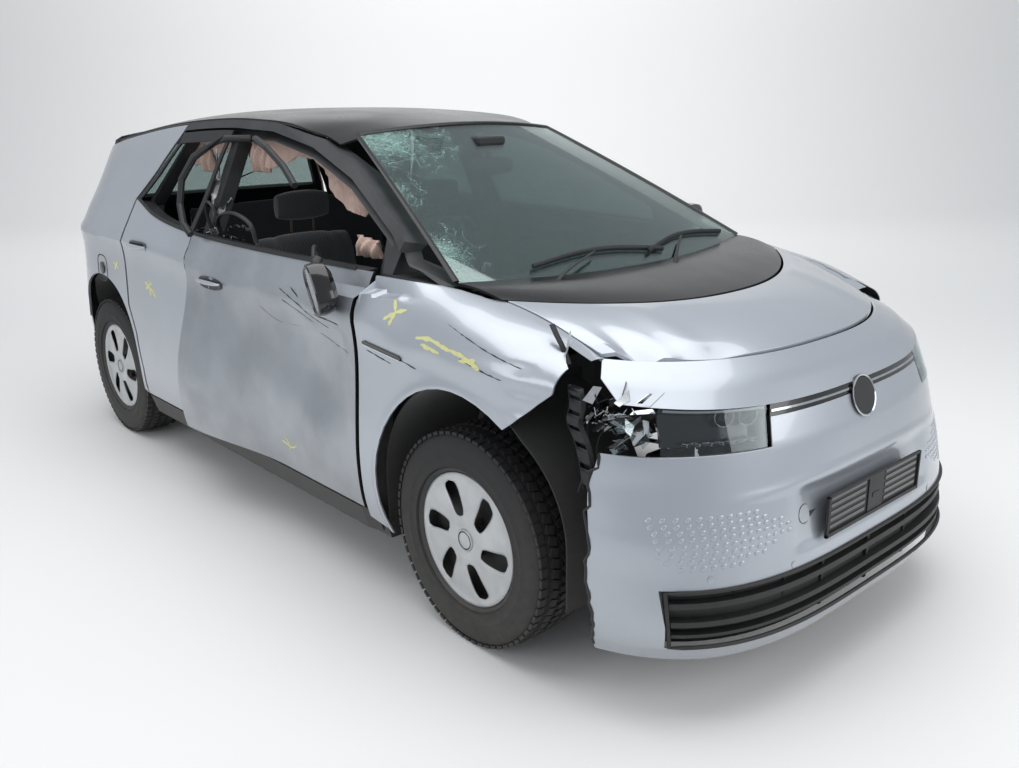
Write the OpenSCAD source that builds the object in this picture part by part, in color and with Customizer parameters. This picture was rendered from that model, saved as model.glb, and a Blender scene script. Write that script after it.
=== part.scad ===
// Compact five-door electric hatchback after a side and corner impact.
// X runs forward, Y to the car's left, Z up. The origin is on the ground at mid length.

/* [Stance] */
// Distance between the front and rear axles
wheelbase = 2770; // [2500:10:3300]
// Distance between the middles of the two tyres on one axle
track = 1530; // [1480:5:1560]
// Overall width of the body without mirrors
body_w = 1810; // [1740:5:2000]
// Height of the cabin above the belt line
cabin_h = 500; // [400:5:620]

/* [Wheels] */
// Outer radius of a tyre
tyre_r = 347; // [320:1:360]
// Width of a tyre
tyre_w = 215; // [185:5:225]
// Radius of the bead seat of a rim
rim_r = 229; // [203:1:240]
// Radius of a brake disc
disc_r = 150; // [120:1:165]
// Radius of a front spindle and of a rear drive shaft
spindle_r = 20; // [14:0.5:26]
// Number of slots in a wheel cover
slots = 6; // [3:1:9]

/* [Panels] */
// Gap between neighbouring panels
gap = 5; // [3:0.5:8]
// Thickness of a door from its skin to its trim
door_t = 96; // [60:1:120]
// Thickness of a single skin
skin_t = 6; // [4:0.5:10]
// Thickness of a pane of glass
glass_t = 5; // [4:0.5:8]
// Thickness of the tailgate
tailgate_t = 45; // [30:1:60]

/* [Steering] */
// Distance of the tie rod studs behind the steering axes
steer_arm = 110; // [90:1:130]
// Radius of the rack bar
rack_r = 13; // [10:0.5:16]
// Radius of the steering wheel's rim
hand_wheel_r = 180; // [160:1:195]

/* [Damage] */
// How far the jammed door's lower rear corner stands out
door_bulge = 75; // [0:1:95]
// Depth of the dent in the jammed door
door_dent = 28; // [0:1:40]

/* [Hidden] */

// Places along the car. Shapes are drawn on a pattern car and moved to this car's sizes.
pattern_wheelbase = 2770;
pattern_w = 1810;
pattern_cabin = 500;
front_axle_x = 1300;
rear_axle_x = front_axle_x - wheelbase;
pattern_rear_axle = front_axle_x - pattern_wheelbase;
belt_z = 1100;
door_front_x = 785;
door_split_x = -460;
door_rear_x = -1140;
axle_z = tyre_r;
wheel_y = track / 2;
ky = body_w / pattern_w;
kz = cabin_h / pattern_cabin;
fit = 0.05;
seat = 0.3;

// Wheel arches
arch_r = 395;
arch_z = 430;
arch_front_x = front_axle_x - 8;
arch_rear_x = pattern_rear_axle - 5;

// Steering axis: a straight line from the lower ball joint to the strut top
ball_y = wheel_y - 75;
ball_z = 200;
top_y = wheel_y - 165;
top_z = 850;
king_len = norm([ball_y - top_y, top_z - ball_z]);
king_tilt = atan((ball_y - top_y) / (top_z - ball_z));
function king_y(z) = ball_y + (top_y - ball_y) * (z - ball_z) / (top_z - ball_z);

// Colours
silver = "silver";
black = [0.07, 0.07, 0.08];
dark = [0.16, 0.16, 0.17];
steel = [0.45, 0.46, 0.47];
glass = [0.6, 0.75, 0.72, 0.4];
$fn = 64;

// ---- Small functions ----
function mix(a, b, t) = a + (b - a) * t;
function clamp(v, a, b) = max(a, min(b, v));
function ease(t) = let(c = clamp(t, 0, 1)) c * c * (3 - 2 * c);
function steps(n) = [for (i = [0:n]) i / n];

// Smooth curve through [place, value] pairs, listed from the lowest place
function slope(p, i) =
  let(a = max(i - 1, 0), b = min(i + 1, len(p) - 1)) (p[b][1] - p[a][1]) / (p[b][0] - p[a][0]);
function seek(p, x, i = 0) = i >= len(p) - 2 || x < p[i + 1][0] ? i : seek(p, x, i + 1);
function curve(p, x) =
  let(
    c = clamp(x, p[0][0], p[len(p) - 1][0]),
    i = seek(p, c),
    h = p[i + 1][0] - p[i][0],
    t = (c - p[i][0]) / h,
    a = t * t * t,
    b = t * t
  )
  (2 * a - 3 * b + 1) * p[i][1] + (a - 2 * b + t) * h * slope(p, i)
    + (3 * b - 2 * a) * p[i + 1][1] + (a - b) * h * slope(p, i + 1);

// Point at share t of a path of points
function along(p, t) =
  let(n = len(p) - 1, s = clamp(t, 0, 1) * n, i = min(floor(s), n - 1)) mix(p[i], p[i + 1], s - i);

// Surface point inside four paths: low and high run along u, near and far along v
function patch(low, high, near, far, u, v) =
  let(n = len(low) - 1, m = len(high) - 1)
  mix(along(low, u), along(high, u), v) + mix(along(near, v), along(far, v), u)
    - mix(mix(low[0], low[n], u), mix(high[0], high[m], u), v);

// From the pattern car to this car
function place_x(x) =
  x >= door_front_x ? x
    : x <= door_rear_x ? x + pattern_wheelbase - wheelbase
    : x + (pattern_wheelbase - wheelbase) * (door_front_x - x) / (door_front_x - door_rear_x);
function place_z(z) = z <= belt_z ? z : belt_z + (z - belt_z) * kz;
function place(p) = [place_x(p[0]), p[1] * ky, place_z(p[2])];

// ---- Shape of the body on the pattern car ----
// Half width over height
half_width = [
  [180, 842], [250, 868], [350, 893], [480, 903], [600, 899], [750, 889], [850, 886],
  [930, 892], [965, 896], [1000, 888], [1050, 868], [1100, 852], [1241, 772], [1400, 690],
  [1510, 625], [1580, 575]
];
// Upper edge of the body side over length
rail_line = [
  [-1900, 1400], [-1650, 1448], [-1500, 1475], [-1100, 1528], [-700, 1556], [-350, 1560],
  [0, 1535], [410, 1415], [783, 1241], [1120, 1082]
];
// Middle of the roof over length
roof_line = [
  [-1900, 1462], [-1650, 1527], [-1400, 1565], [-1000, 1592], [-600, 1600], [-300, 1596],
  [0, 1579], [300, 1545]
];
// Window sill over length
sill_line = [[-1135, 1206], [-886, 1150], [-550, 1118], [-200, 1106], [900, 1100]];
// Wing top: height and half width over length
wing_top = [
  [785, 1092], [1000, 1096], [1120, 1090], [1307, 1066], [1500, 1030], [1690, 966], [1760, 935]
];
wing_in = [
  [785, 852], [1000, 792], [1120, 748], [1307, 705], [1500, 695], [1690, 684], [1760, 672]
];
// Reach of the nose ahead of the front axle and of the tail behind its start, over height
nose_reach = [
  [180, 845], [250, 868], [370, 864], [500, 845], [600, 830], [740, 803], [815, 778], [900, 740]
];
tail_reach = [
  [200, 597], [450, 632], [700, 612], [860, 597], [1040, 578], [1100, 580], [1290, 548],
  [1430, 530], [1500, 500]
];
tail_start = -1500;

function door_top(x) = curve(rail_line, x) - 42;
function nose_a(z) = curve(nose_reach, z);
function nose_n(z) = curve([[180, 3.4], [500, 3.2], [740, 2.8], [900, 2.6]], z);
function tail_a(z) = curve(tail_reach, z);

// Outer half width at a place on the side, from the sill to the roof edge
function cabin_in(x, z) =
  z <= 1050 || x < -300 ? 1
    : pow(max(0.05, 1 - pow((x + 300) / (2654 - (z - 1100) * 4.11), 2.2)), 0.4545);
function crease_lift(x, z) =
  75 * ease(-x / 900) * curve([[500, 0], [800, 1], [1000, 1], [1095, 0]], z);
function tail_in(x, z) =
  x > tail_start ? 1 : pow(max(0.001, 1 - pow((tail_start - x) / tail_a(z), 3)), 1 / 3);
function door_y(x, z) =
  curve(half_width, z - crease_lift(x, z)) * cabin_in(x, z) * tail_in(x, z);
function nose_in(x, z) =
  x < front_axle_x ? 1
    : pow(max(0.001, 1 - pow((x - front_axle_x) / nose_a(z), nose_n(z))), 1 / nose_n(z));
function wing_y(x, z) =
  let(
    low = curve(half_width, min(z, 900)) * nose_in(x, min(z, 900)),
    q = clamp((z - 900) / (curve(wing_top, x) - 900), 0, 1),
    roundness = mix(1, 0.5, ease((x - 900) / 400))
  )
  z < 900 ? low : low - (low - curve(wing_in, x)) * (1 - pow(1 - q * q, roundness));
function side_y(x, z) =
  x < door_front_x ? door_y(x, z)
    : mix(door_y(x, z), wing_y(x, z), ease((x - door_front_x) / 300));

// ---- One closed skin from two grids of points ----
// keep tells which cells are solid, and walls close every free edge
module shell(outer, inner, keep, left = true) {
  rows = len(outer);
  cols = len(outer[0]);
  count = rows * cols;
  side = left ? 1 : -1;
  flat = concat([for (r = outer) each r], [for (r = inner) each r]);
  points = [for (p = flat) [p[0], p[1] * side, p[2]]];
  function has(i, j) = i >= 0 && j >= 0 && i < rows - 1 && j < cols - 1 && keep[i][j];
  function at(i, j, k = 0) = k * count + i * cols + j;
  function turn(f) = left ? f : [f[2], f[1], f[0]];
  // Two triangles over four corners
  function quad(a, b, c, d) = [[a, b, c], [a, c, d]];
  faces = [
    for (i = [0:rows - 2]) for (j = [0:cols - 2]) if (has(i, j)) let(m = i + 1, n = j + 1) each concat(
      quad(at(m, n), at(m, j), at(i, j), at(i, n)),
      quad(at(i, j, 1), at(m, j, 1), at(m, n, 1), at(i, n, 1)),
      has(i - 1, j) ? [] : quad(at(i, j), at(i, j, 1), at(i, n, 1), at(i, n)),
      has(i + 1, j) ? [] : quad(at(m, j), at(m, n), at(m, n, 1), at(m, j, 1)),
      has(i, j - 1) ? [] : quad(at(m, j), at(m, j, 1), at(i, j, 1), at(i, j)),
      has(i, j + 1) ? [] : quad(at(i, n), at(i, n, 1), at(m, n, 1), at(m, n))
    )
  ];
  polyhedron(points, [for (f = faces) turn(f)]);
}
function all_cells(rows, cols) = [for (i = [0:rows - 2]) [for (j = [0:cols - 2]) true]];

// ---- Doors ----
// A door's grid has lines at its edge, at its rim and where its box is full depth
rim_w = 36;
box_w = 50;
frame_w = 46;
door_flange = 10;
function door_cols(w) =
  let(r = rim_w / w, b = box_w / w) [0, r, b, 0.2, 0.35, 0.5, 0.65, 0.8, 1 - b * 1.3, 1 - r, 1];
function door_levels(rear) = rear
  ? [
      [300, -1055, 0], [336, -1046, 0], [362, -1043, 0], [430, -1037, 0], [600, -1072, 0],
      [720, -1138, 0], [900, -1142, 0], [1020, -1142, 0], [0, -1150, 1], [0.5, -1040, 2], [1, -930, 3]
    ]
  : [
      [300, 0, 0], [336, 0, 0], [362, 0, 0], [480, 0, 0], [620, 0, 0], [760, 0, 0], [900, 0, 0],
      [1000, 0, 0], [0, 0, 1], [0.5, 0, 2], [1, 0, 3]
    ];
function door_xz(rear, j, u) =
  let(
    l = door_levels(rear)[j],
    front = rear ? door_split_x - gap : door_front_x,
    back = rear ? l[1] : door_split_x,
    x = mix(l[2] >= 2 ? front - (rear ? 0 : 15) : front, back, u)
  )
  l[2] == 0 ? [x, l[0]]
    : l[2] == 1 ? [x, curve(sill_line, x)]
    : l[2] == 2 ? [x, mix(curve(sill_line, x), door_top(x) - frame_w, 0.5)]
    : [x, door_top(x)];
// The window opening's upper corners sit a frame's width below the door's top
function door_point(p, depth, drop) = [p[0], side_y(p[0], p[1] - drop) - depth, p[1] - drop];
function door_grid(rear, cols, depth) = [
  for (i = [0:len(cols) - 1]) concat(
    [for (j = [0:9]) door_point(door_xz(rear, j, cols[i]), depth(i, j), 0)],
    [for (k = [10, 11]) door_point(door_xz(rear, 10, cols[i]), depth(i, k), k == 10 ? frame_w : 0)]
  )
];
function door_depth(i, j, n) =
  let(edge = min(i, n - i))
  edge == 0 || j == 0 || j == 11 ? door_flange
    : edge == 1 || j == 1 ? door_flange
    : j >= 9 ? 34
    : j == 8 ? 60
    : door_t;
function door_keep(n, window) = [
  for (i = [0:n - 1]) [for (j = [0:10]) !(window && i >= 1 && i <= n - 2 && j >= 8 && j <= 9)]
];
// Bulge and dent of the jammed right-hand door
function crash_y(x, z) =
  let(
    bulge = ease((250 - x) / 700) * ease((1010 - z) / 500),
    dent = ease((x - 250) / 250) * ease((door_front_x - x) / 120) * ease((z - 520) / 200)
  )
  door_bulge * bulge - door_dent * dent * ease((950 - z) / 80);

module door(rear, left, window = true, upper = true, hurt = false) {
  front = rear ? door_split_x - gap : door_front_x;
  back = rear ? door_rear_x : door_split_x;
  cols = door_cols(front - back);
  n = len(cols) - 1;
  top = upper ? 11 : 8;
  out_flat = door_grid(rear, cols, function(i, j) 0);
  in_flat = door_grid(rear, cols, function(i, j) door_depth(i, j, n));
  function bend(p) = hurt ? [p[0], p[1] + crash_y(p[0], p[2]), p[2]] : p;
  outer = [for (r = out_flat) [for (j = [0:top]) place(bend(r[j]))]];
  inner = [for (r = in_flat) [for (j = [0:top]) place(bend(r[j]))]];
  color(silver) shell(outer, inner, door_keep(n, window), left);
}
module pane(rear) {
  front = rear ? door_split_x - gap : door_front_x;
  back = rear ? door_rear_x : door_split_x;
  all = door_cols(front - back);
  cols = [for (i = [1:len(all) - 2]) all[i]];
  n = len(cols) - 1;
  function inset(i) = i == 0 ? 0.004 : i == n ? -0.004 : 0;
  function grid(d) = [
    for (i = [0:n]) [
      for (j = [8:10])
        let(
          q = door_xz(rear, j, cols[i] + inset(i)),
          z = j == 8 ? q[1] + seat : j == 9 ? q[1] : q[1] - frame_w - seat
        )
        place([q[0], side_y(q[0], z) - 16 - d, z])
    ]
  ];
  color(glass) shell(grid(0), grid(glass_t), all_cells(n + 1, 3), true);
}

// ---- Side frame: sill, hinge pillar, screen pillar, centre pillar and roof rail ----
// Each level lists its key places from front to rear
pillar_face = 65;
rail_face = 50;
rail_deep = 92;
sill_deep = 150;
sill_z = [205, 292, 297, 345];
wing_seat = skin_t + 3.3;
// Blocks on the frame that stop the front edges of the two doors
hinge_z = [760, 900];
module hinge_blocks(left) {
  s = left ? 1 : -1;
  for (x = [door_front_x, door_split_x - gap]) for (z = hinge_z) {
    y = side_y(x, z) - pillar_face;
    edge = place_x(x) - (rim_w + (box_w - rim_w) * (pillar_face - door_flange) / (door_t - door_flange));
    rest = seat + (left || x < door_front_x ? 0 : 1.4);
    translate([edge + rest, s > 0 ? (y - 30) * ky : -y * ky, z]) cube([x - 22 - edge, 30 * ky, 50]);
  }
}
function frame_x(j) =
  j <= 3 ? [884, 872, 850, 800, 757, -432, -493, -1005, -1040, -1048]
    : j == 4 ? [905, 885, 850, 812, 757, -432, -493, -1105, -1132, -1136]
    : j == 5 ? [1120, 1075, 850, 800, 750, -432, -493, -1110, -1146, -1150]
    : j == 6 ? [925, 900, 838, 782, 735, -432, -493, -908, -918, -924.6]
    : [870, 850, 828, 776, 735, -432, -493, -908, -918, -924.6];
function frame_z(j, k, x) =
  j <= 3 ? sill_z[j] : j == 4 ? 800
    : j == 5 ? (k <= 1 ? 1088 : curve(sill_line, x) - (k == 2 || k == 3 ? 6 : 30))
    : j == 6 ? door_top(x) - (k <= 2 ? 2 : 28)
    : j == 7 ? door_top(x) + gap
    : j == 8 ? door_top(x) + gap + 5
    : curve(rail_line, x);
module side_frame(left) {
  color(dark) hinge_blocks(left);
  keys = 10;
  split = [for (k = [0:keys - 2]) k == 4 || k == 6 ? 4 : 1];
  us = concat([for (k = [0:keys - 2]) for (s = [0:split[k] - 1]) [k, s / split[k]]], [[keys - 2, 1]]);
  function face(j, k) =
    j <= 1 ? (k <= 3 ? wing_seat : 0)
      : j <= 5 ? (j == 5 && k <= 3 ? 30 : pillar_face)
      : j <= 7 ? (j == 7 && k > 3 ? rail_face : 30)
      : 0;
  function back(j) = j <= 3 ? sill_deep : j <= 4 ? 140 : j == 5 ? 130 : rail_deep;
  function node_at(j, u, inside) =
    let(
      xs = frame_x(j),
      x = mix(xs[u[0]], xs[u[0] + 1], u[1]),
      z = mix(frame_z(j, u[0], x), frame_z(j, u[0] + 1, x), u[1]),
      d = inside ? back(j) : mix(face(j, u[0]), face(j, u[0] + 1), u[1])
    )
    place([x, side_y(x, z) - d, z - (inside && j == 9 ? 20 : 0)]);
  outer = [for (u = us) [for (j = [0:9]) node_at(j, u, false)]];
  inner = [for (u = us) [for (j = [0:9]) node_at(j, u, true)]];
  function open(u, j) =
    (u[0] == 4 || u[0] == 6) && j >= 3 && j <= 5 || u[0] == 1 && j == 5;
  keep = [for (i = [0:len(us) - 2]) [for (j = [0:8]) !open(us[i], j)]];
  color(dark) shell(outer, inner, keep, left);
}

// ---- Rear quarter ----
arch_start = -19;
arch_end = 162;
quarter_front = [[-1066, 300], [-1049, 430], [-1087, 600], [-1154, 720], [-1158, 900]];
quarter_pillar = [[-1158, 1020], [-1164, 1206], [-1054, 1330], [-944, 1490], [-925, 1535]];
// Height and share of the body's half width at the quarter's rear edge
quarter_edge = [[552, 0.951], [640, 0.957], [750, 0.963], [850, 0.963], [920, 0.96], [1006, 0.955]];
quarter_rear = [for (e = quarter_edge) [tail_point(e[1], e[0], 0)[0], e[0]]];
quarter_screen = [[-1960, 1020], [-1942, 1062], [-1922, 1180], [-1900, 1300], [-1850, 1402]];
// Line across the panel over the arch, with the tongue over the lamp behind it
quarter_seam = [for (t = steps(8)) mix([-1158, 1006], quarter_rear[5], t)];
quarter_belt = concat([for (q = quarter_seam) [q[0], 1020]], [quarter_screen[0]]);
// The lower part's outer edge, from the door's lower corner over the seam to the bumper
quarter_rim = concat(quarter_front, quarter_seam, [for (i = [4:-1:0]) quarter_rear[i]]);
// Point of the wheel arch straight between its centre and an edge point
function arch_under(p) =
  let(a = atan2(p[1] - arch_z, p[0] - arch_rear_x), c = clamp(a, arch_start, arch_end))
  [arch_rear_x + arch_r * cos(c), arch_z + arch_r * sin(c)];
// Lower columns run from the arch to the line, upper columns from just above it to the roof
module rear_quarter(left) {
  thick = 2 * skin_t;
  vs = [0, 0.1, 0.3, 0.5, 0.7, 0.85, 1];
  high_vs = [0, 0.12, 0.25, 0.5, 0.75, 0.88, 1];
  first = len(quarter_front);
  last = first + len(quarter_belt) - 1;
  high = [for (t = steps(9)) let(x = mix(-925, -1850, t)) [x, curve(rail_line, x)]];
  function low_part(i, v) = mix(arch_under(quarter_rim[i]), quarter_rim[i], v);
  function high_part(i, v) =
    let(u = clamp((i - first) / (last - first), 0, 1))
    patch(quarter_belt, high, quarter_pillar, quarter_screen, u, v);
  ends = len(quarter_rim) - 1;
  function grid(d) = [
    for (i = [ends:-1:0])
      concat([for (v = vs) skin_point(low_part(i, v), d)], [for (v = high_vs) skin_point(high_part(i, v), d)])
  ];
  function solid(i, j) = j < 6 ? true : j == 6 ? i >= first && i < last - 1 : i >= first && i < last;
  keep = [for (i = [ends - 1:-1:0]) [for (j = [0:2 * len(vs) - 2]) solid(i, j)]];
  color(silver) shell(grid(0), grid(thick), keep, left);
}
// Point of the body side at depth d behind its skin
function skin_point(q, d) = place([q[0], side_y(q[0], q[1]) - d, q[1]]);

// ---- Front wings ----
wing_low_z = 270;
function front_arch(t, a1) =
  let(a = mix(207, a1, t)) [arch_front_x + arch_r * cos(a), arch_z + arch_r * sin(a)];
// Columns fan out from the arch, first to the edge behind it and then to the top
module front_wing(left, torn = false) {
  us = [0, 0.06, 0.12, 0.18, 0.24, 1 / 3, 0.4, 0.5, 0.6, 0.7, 0.8, 0.9, 1];
  vs = [0, 0.05, 0.15, 0.3, 0.45, 0.6, 0.72, 0.82, 0.9, 0.96, 1];
  back_cols = 6;
  top_cols = 12;
  start = door_front_x + (torn ? 22 : gap);
  low = [for (t = steps(back_cols + top_cols)) front_arch(t, torn ? 57 : 12)];
  nose = torn
    ? [[1590, 830], [1655, 885], [1668, 950]]
    : [[1715, 700], [1690, 830], [1700, 905], [1690, 955]];
  tip = nose[len(nose) - 1];
  drop = 0.5;
  function back_at(t) = [start, mix(wing_low_z, curve(wing_top, start) - drop, t)];
  function top_at(t) = let(x = mix(start, tip[0], t)) t == 1 ? tip : [x, curve(wing_top, x) - drop];
  high = concat(
    [for (i = [0:back_cols]) back_at(i / back_cols)], [for (i = [1:top_cols]) top_at(i / top_cols)]
  );
  near = [low[0], high[0]];
  far = concat([low[back_cols + top_cols]], nose);
  function grid(d) = [
    for (u = us) [
      for (v = vs)
        let(p = patch(low, high, near, far, u, v))
        place([p[0], side_y(p[0], p[1]) - d, p[1]])
    ]
  ];
  color(silver) shell(grid(0), grid(skin_t), all_cells(len(us), len(vs)), left);
}

// ---- Nose rings ----
// Each ring: forward reach, half width, roundness, height in the middle, rise at the side
rings = [
  [650, 770, 2.4, 945, 25], [722, 825, 2.5, 902, 35], [772, 872, 2.6, 846, 50],
  [780, 882, 2.65, 816, 40], [803, 886, 2.8, 742, 12], [818, 891, 2.9, 660, 0],
  [838, 897, 3.1, 540, 0], [856, 900, 3.3, 400, 0], [868, 893, 3.4, 300, 0],
  [866, 885, 3.4, 238, 0], [845, 862, 3.4, 186, 0]
];
function ring_point(k, y, inset = 0) =
  let(
    r = rings[k],
    s = pow(clamp(abs(y) / 885, 0, 1), 1.4),
    c = sqrt(1 - s * s)
  )
  [
    front_axle_x + (r[0] - inset) * pow(c, 2 / r[2]),
    sign(y) * (r[1] - inset) * pow(s, 2 / r[2]),
    r[3] + r[4] * pow(s, 3) - (k < 2 ? inset * 0.7 : 0)
  ];
bumper_ends = [790, 795, 800, 802, 835, 838, 840, 840, 840, 840, 840];
torn_ends = [790, 790, 760, 745, 800, 812, 822, 826, 828, 828, 826];
lamp_in = 420;
grille_end = 715;
plate_half = 265;
// Half of the bumper's edges across the car: middle, two cells, lamps, grille and end
function edge_y(k, e) =
  let(a = abs(e))
  e == 5 ? bumper_ends[k]
    : e == -5 ? -torn_ends[k]
    : sign(e) * (a == 4 ? grille_end * (k < 5 ? 0.93 : 1) : a == 3 ? lamp_in * (k < 5 ? 1 : 1.18) : a * 133);
edge_cells = [4, 3, 2, 1, 1, 1, 1, 2, 3, 4];
function edge_split(e) = let(n = edge_cells[e + 5]) [for (i = [0:n - 1]) [e, i / n]];
edge_cols = concat([for (e = [-5:4]) each edge_split(e)], [[4, 1]]);
module front_bumper() {
  function y_at(k, c) = mix(edge_y(k, c[0]), edge_y(k, c[0] + 1), c[1]);
  function grid(d) = [for (c = edge_cols) [for (k = [0:10]) place(ring_point(k, y_at(k, c), d))]];
  function open(e, k) =
    let(side = e <= -4 || e >= 3)
    k == 2 || k == 3 && side || (k == 7 || k == 8) && e >= -4 && e <= 3;
  keep = [for (i = [0:len(edge_cols) - 2]) [for (k = [0:9]) !open(edge_cols[i][0], k)]];
  color(silver) shell(grid(skin_t), grid(0), keep, true);
}
module ring_patch(y0, y1, k0, k1, front, deep, cells = 6, trim = 0.012) {
  ys = [for (t = steps(cells)) mix(y0, y1, t)];
  function at(k, t, y, d) = mix(ring_point(k, y, d), ring_point(k + 1, y, d), t);
  ks = concat([[k0, trim]], [for (k = [k0 + 1:k1 - 1]) [k, 0]], [[k1 - 1, 1 - trim]]);
  function grid(d) = [for (y = ys) [for (k = ks) place(at(k[0], k[1], y, d))]];
  shell(grid(deep), grid(front), all_cells(cells + 1, len(ks)), true);
}

// ---- Bonnet, cowl and glass over the front ----
function cowl_front(y) = [1620 - 220 * pow(abs(y) / 600, 2.3), y, 1040 + 30 * pow(abs(y) / 700, 2)];
function glass_base(y) = [1250 - 130 * pow(abs(y) / 720, 2), y, 1085 + 14 * pow(abs(y) / 720, 2)];
function glass_head(y) = [300 - 50 * pow(abs(y) / 500, 2), y, 1545 - 32 * pow(abs(y) / 500, 2)];
module loft(a, b, half_a, half_b, bulge, t0, t1, thick, rows = 12, cols = 8) {
  function at(s, t, d) =
    let(p = mix(a(s * half_a), b(s * half_b), t))
    place([p[0], p[1], p[2] + bulge * 4 * t * (1 - t) - d]);
  function grid(d) = [for (s = steps(rows)) [for (t = steps(cols)) at(s * 2 - 1, mix(t0, t1, t), d)]];
  shell(grid(thick), grid(0), all_cells(rows + 1, cols + 1), true);
}
bonnet_half = 690;
bonnet_front_half = 782;
base_half = 720;
module bonnet() {
  color(silver)
    loft(
      function(y) cowl_front(y), function(y) ring_point(0, y), bonnet_half, bonnet_front_half, 14,
      0.015, 0.962, 12
    );
}
module cowl_panel() {
  color(black)
    loft(function(y) glass_base(y), function(y) cowl_front(y), base_half, 697, 8, 0.001, 0.985, 10, 14, 4);
}
module windscreen() {
  color(glass)
    loft(function(y) glass_base(y), function(y) glass_head(y), base_half, 486, 8, 0, 0.985, glass_t, 14, 10);
}

// ---- Roof ----
module roof_panel() {
  xs = [for (t = steps(12)) mix(275, -1645, t)];
  vs = [for (t = steps(12)) t * 2 - 1];
  function point(i, v, d) =
    let(
      x = xs[i] + (i == 0 ? 18 - 52 * v * v : 0),
      r = curve(rail_line, x),
      y = v * (side_y(x, r) - (x > 100 ? 36 : 5)),
      top = curve(roof_line, x),
      edge = min(i, 12 - i) == 0 || abs(v) == 1
    )
    place([x, y, top - (top - r - 7) * pow(abs(v), 2.4) - (d ? (edge ? 7 - seat : 22) : 0)]);
  outer = [for (i = [0:12]) [for (v = vs) point(i, v, false)]];
  inner = [for (i = [0:12]) [for (v = vs) point(i, v, true)]];
  color(black) shell(outer, inner, all_cells(13, 13), true);
}

// ---- Tail ----
// Profile of the tailgate: length, height, half width, plan rounding
gate_line = [
  [-1655, 1524, 640, 0], [-1780, 1494, 628, 5], [-1900, 1458, 596, 14], [-1918, 1430, 590, 18],
  [-1958, 1290, 632, 40], [-2002, 1150, 676, 70], [-2024, 1090, 690, 80], [-2064, 1000, 690, 90],
  [-2088, 860, 640, 76], [-2104, 712, 600, 66]
];
gate_rows = len(gate_line) - 1;
// Point at share s of the half width on row k, at depth d behind the skin
function gate_point(k, s, d) =
  let(
    g = gate_line[k],
    back = k < 3 ? 0 : k < 6 ? 0.94 : 1,
    down = k < 3 ? 1 : k < 6 ? 0.34 : 0,
    crown = k < 3 ? 52 - 8 * k : k == 3 ? 14 : 0,
    trim = d > 0 && abs(s) == 1 ? 8 : 0
  )
  [g[0] + g[3] * s * s + d * back, s * (g[2] - trim), g[1] - crown * pow(abs(s), 2.4) - d * down];
module tailgate() {
  ss = [-1, -0.9, -0.6, -0.3, 0, 0.3, 0.6, 0.9, 1];
  function deep(k, s) = abs(s) == 1 || k == 0 || k == gate_rows ? skin_t : tailgate_t;
  function grid(d) = [for (s = ss) [for (k = [0:gate_rows]) place(gate_point(k, s, d ? deep(k, s) : 0))]];
  function open(i, k) = (k == 3 || k == 4) && i >= 1 && i <= 6;
  keep = [for (i = [0:7]) [for (k = [0:gate_rows - 1]) !open(i, k)]];
  color(silver) shell(grid(true), grid(false), keep, true);
}
module tailgate_glass() {
  ss = [-0.899, -0.75, -0.6, -0.3, 0, 0.3, 0.6, 0.75, 0.899];
  function at(s, k, d) = place(
    k == 3 ? mix(gate_point(3, s, d), gate_point(4, s, d), 0.004)
      : k == 5 ? mix(gate_point(5, s, d), gate_point(4, s, d), 0.004)
      : gate_point(k, s, d)
  );
  function grid(d) = [for (s = ss) [for (k = [3, 4, 5]) at(s, k, d)]];
  color(glass) shell(grid(3 + glass_t), grid(3), all_cells(9, 3), true);
}
// Point on the rounded tail at share s of the half width
function tail_point(share, z, d) =
  let(
    w = curve(half_width, z - crease_lift(tail_start, z)),
    s = pow(abs(share), 1.5),
    c = sqrt(1 - s * s)
  )
  [tail_start - (tail_a(z) - d) * pow(c, 2 / 3), sign(share) * (w - d) * pow(s, 2 / 3), z];
// Share of the bumper's ends at each of its levels, clear of the wheel arch
bumper_share = [0.912, 0.912, 0.916, 0.938, 0.952, 0.952];
bumper_z = [[210, 210], [300, 300], [450, 450], [580, 580], [640, 700], [700, 850]];
module rear_bumper() {
  half = [0.25, 0.5, 0.69, 0.74, 0.785, 0.84, 0.9, 1];
  share = concat([for (i = [7:-1:0]) -half[i]], [0], half);
  function at(s, k, d) =
    let(z = bumper_z[k][abs(s) >= 0.74 ? 1 : 0], q = abs(s) == 1 ? sign(s) * bumper_share[k] : s)
    place(tail_point(q, z, d));
  function grid(d) = [for (s = share) [for (k = [0:5]) at(s, k, d)]];
  color(silver) shell(grid(0), grid(skin_t), all_cells(len(share), 6), true);
}
lamp_z = [850 + seat, 900, 945, 990];
module tail_lamps() {
  function inner_share(z) = mix(0.742, 0.795, (z - 850) / 140);
  function grid(d) = [
    for (t = steps(5)) [for (z = lamp_z) place(tail_point(mix(inner_share(z), 0.944, t), z, d))]
  ];
  color("firebrick") {
    shell(grid(2), grid(40), all_cells(6, 4), true);
    shell(grid(2), grid(40), all_cells(6, 4), false);
  }
}

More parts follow.
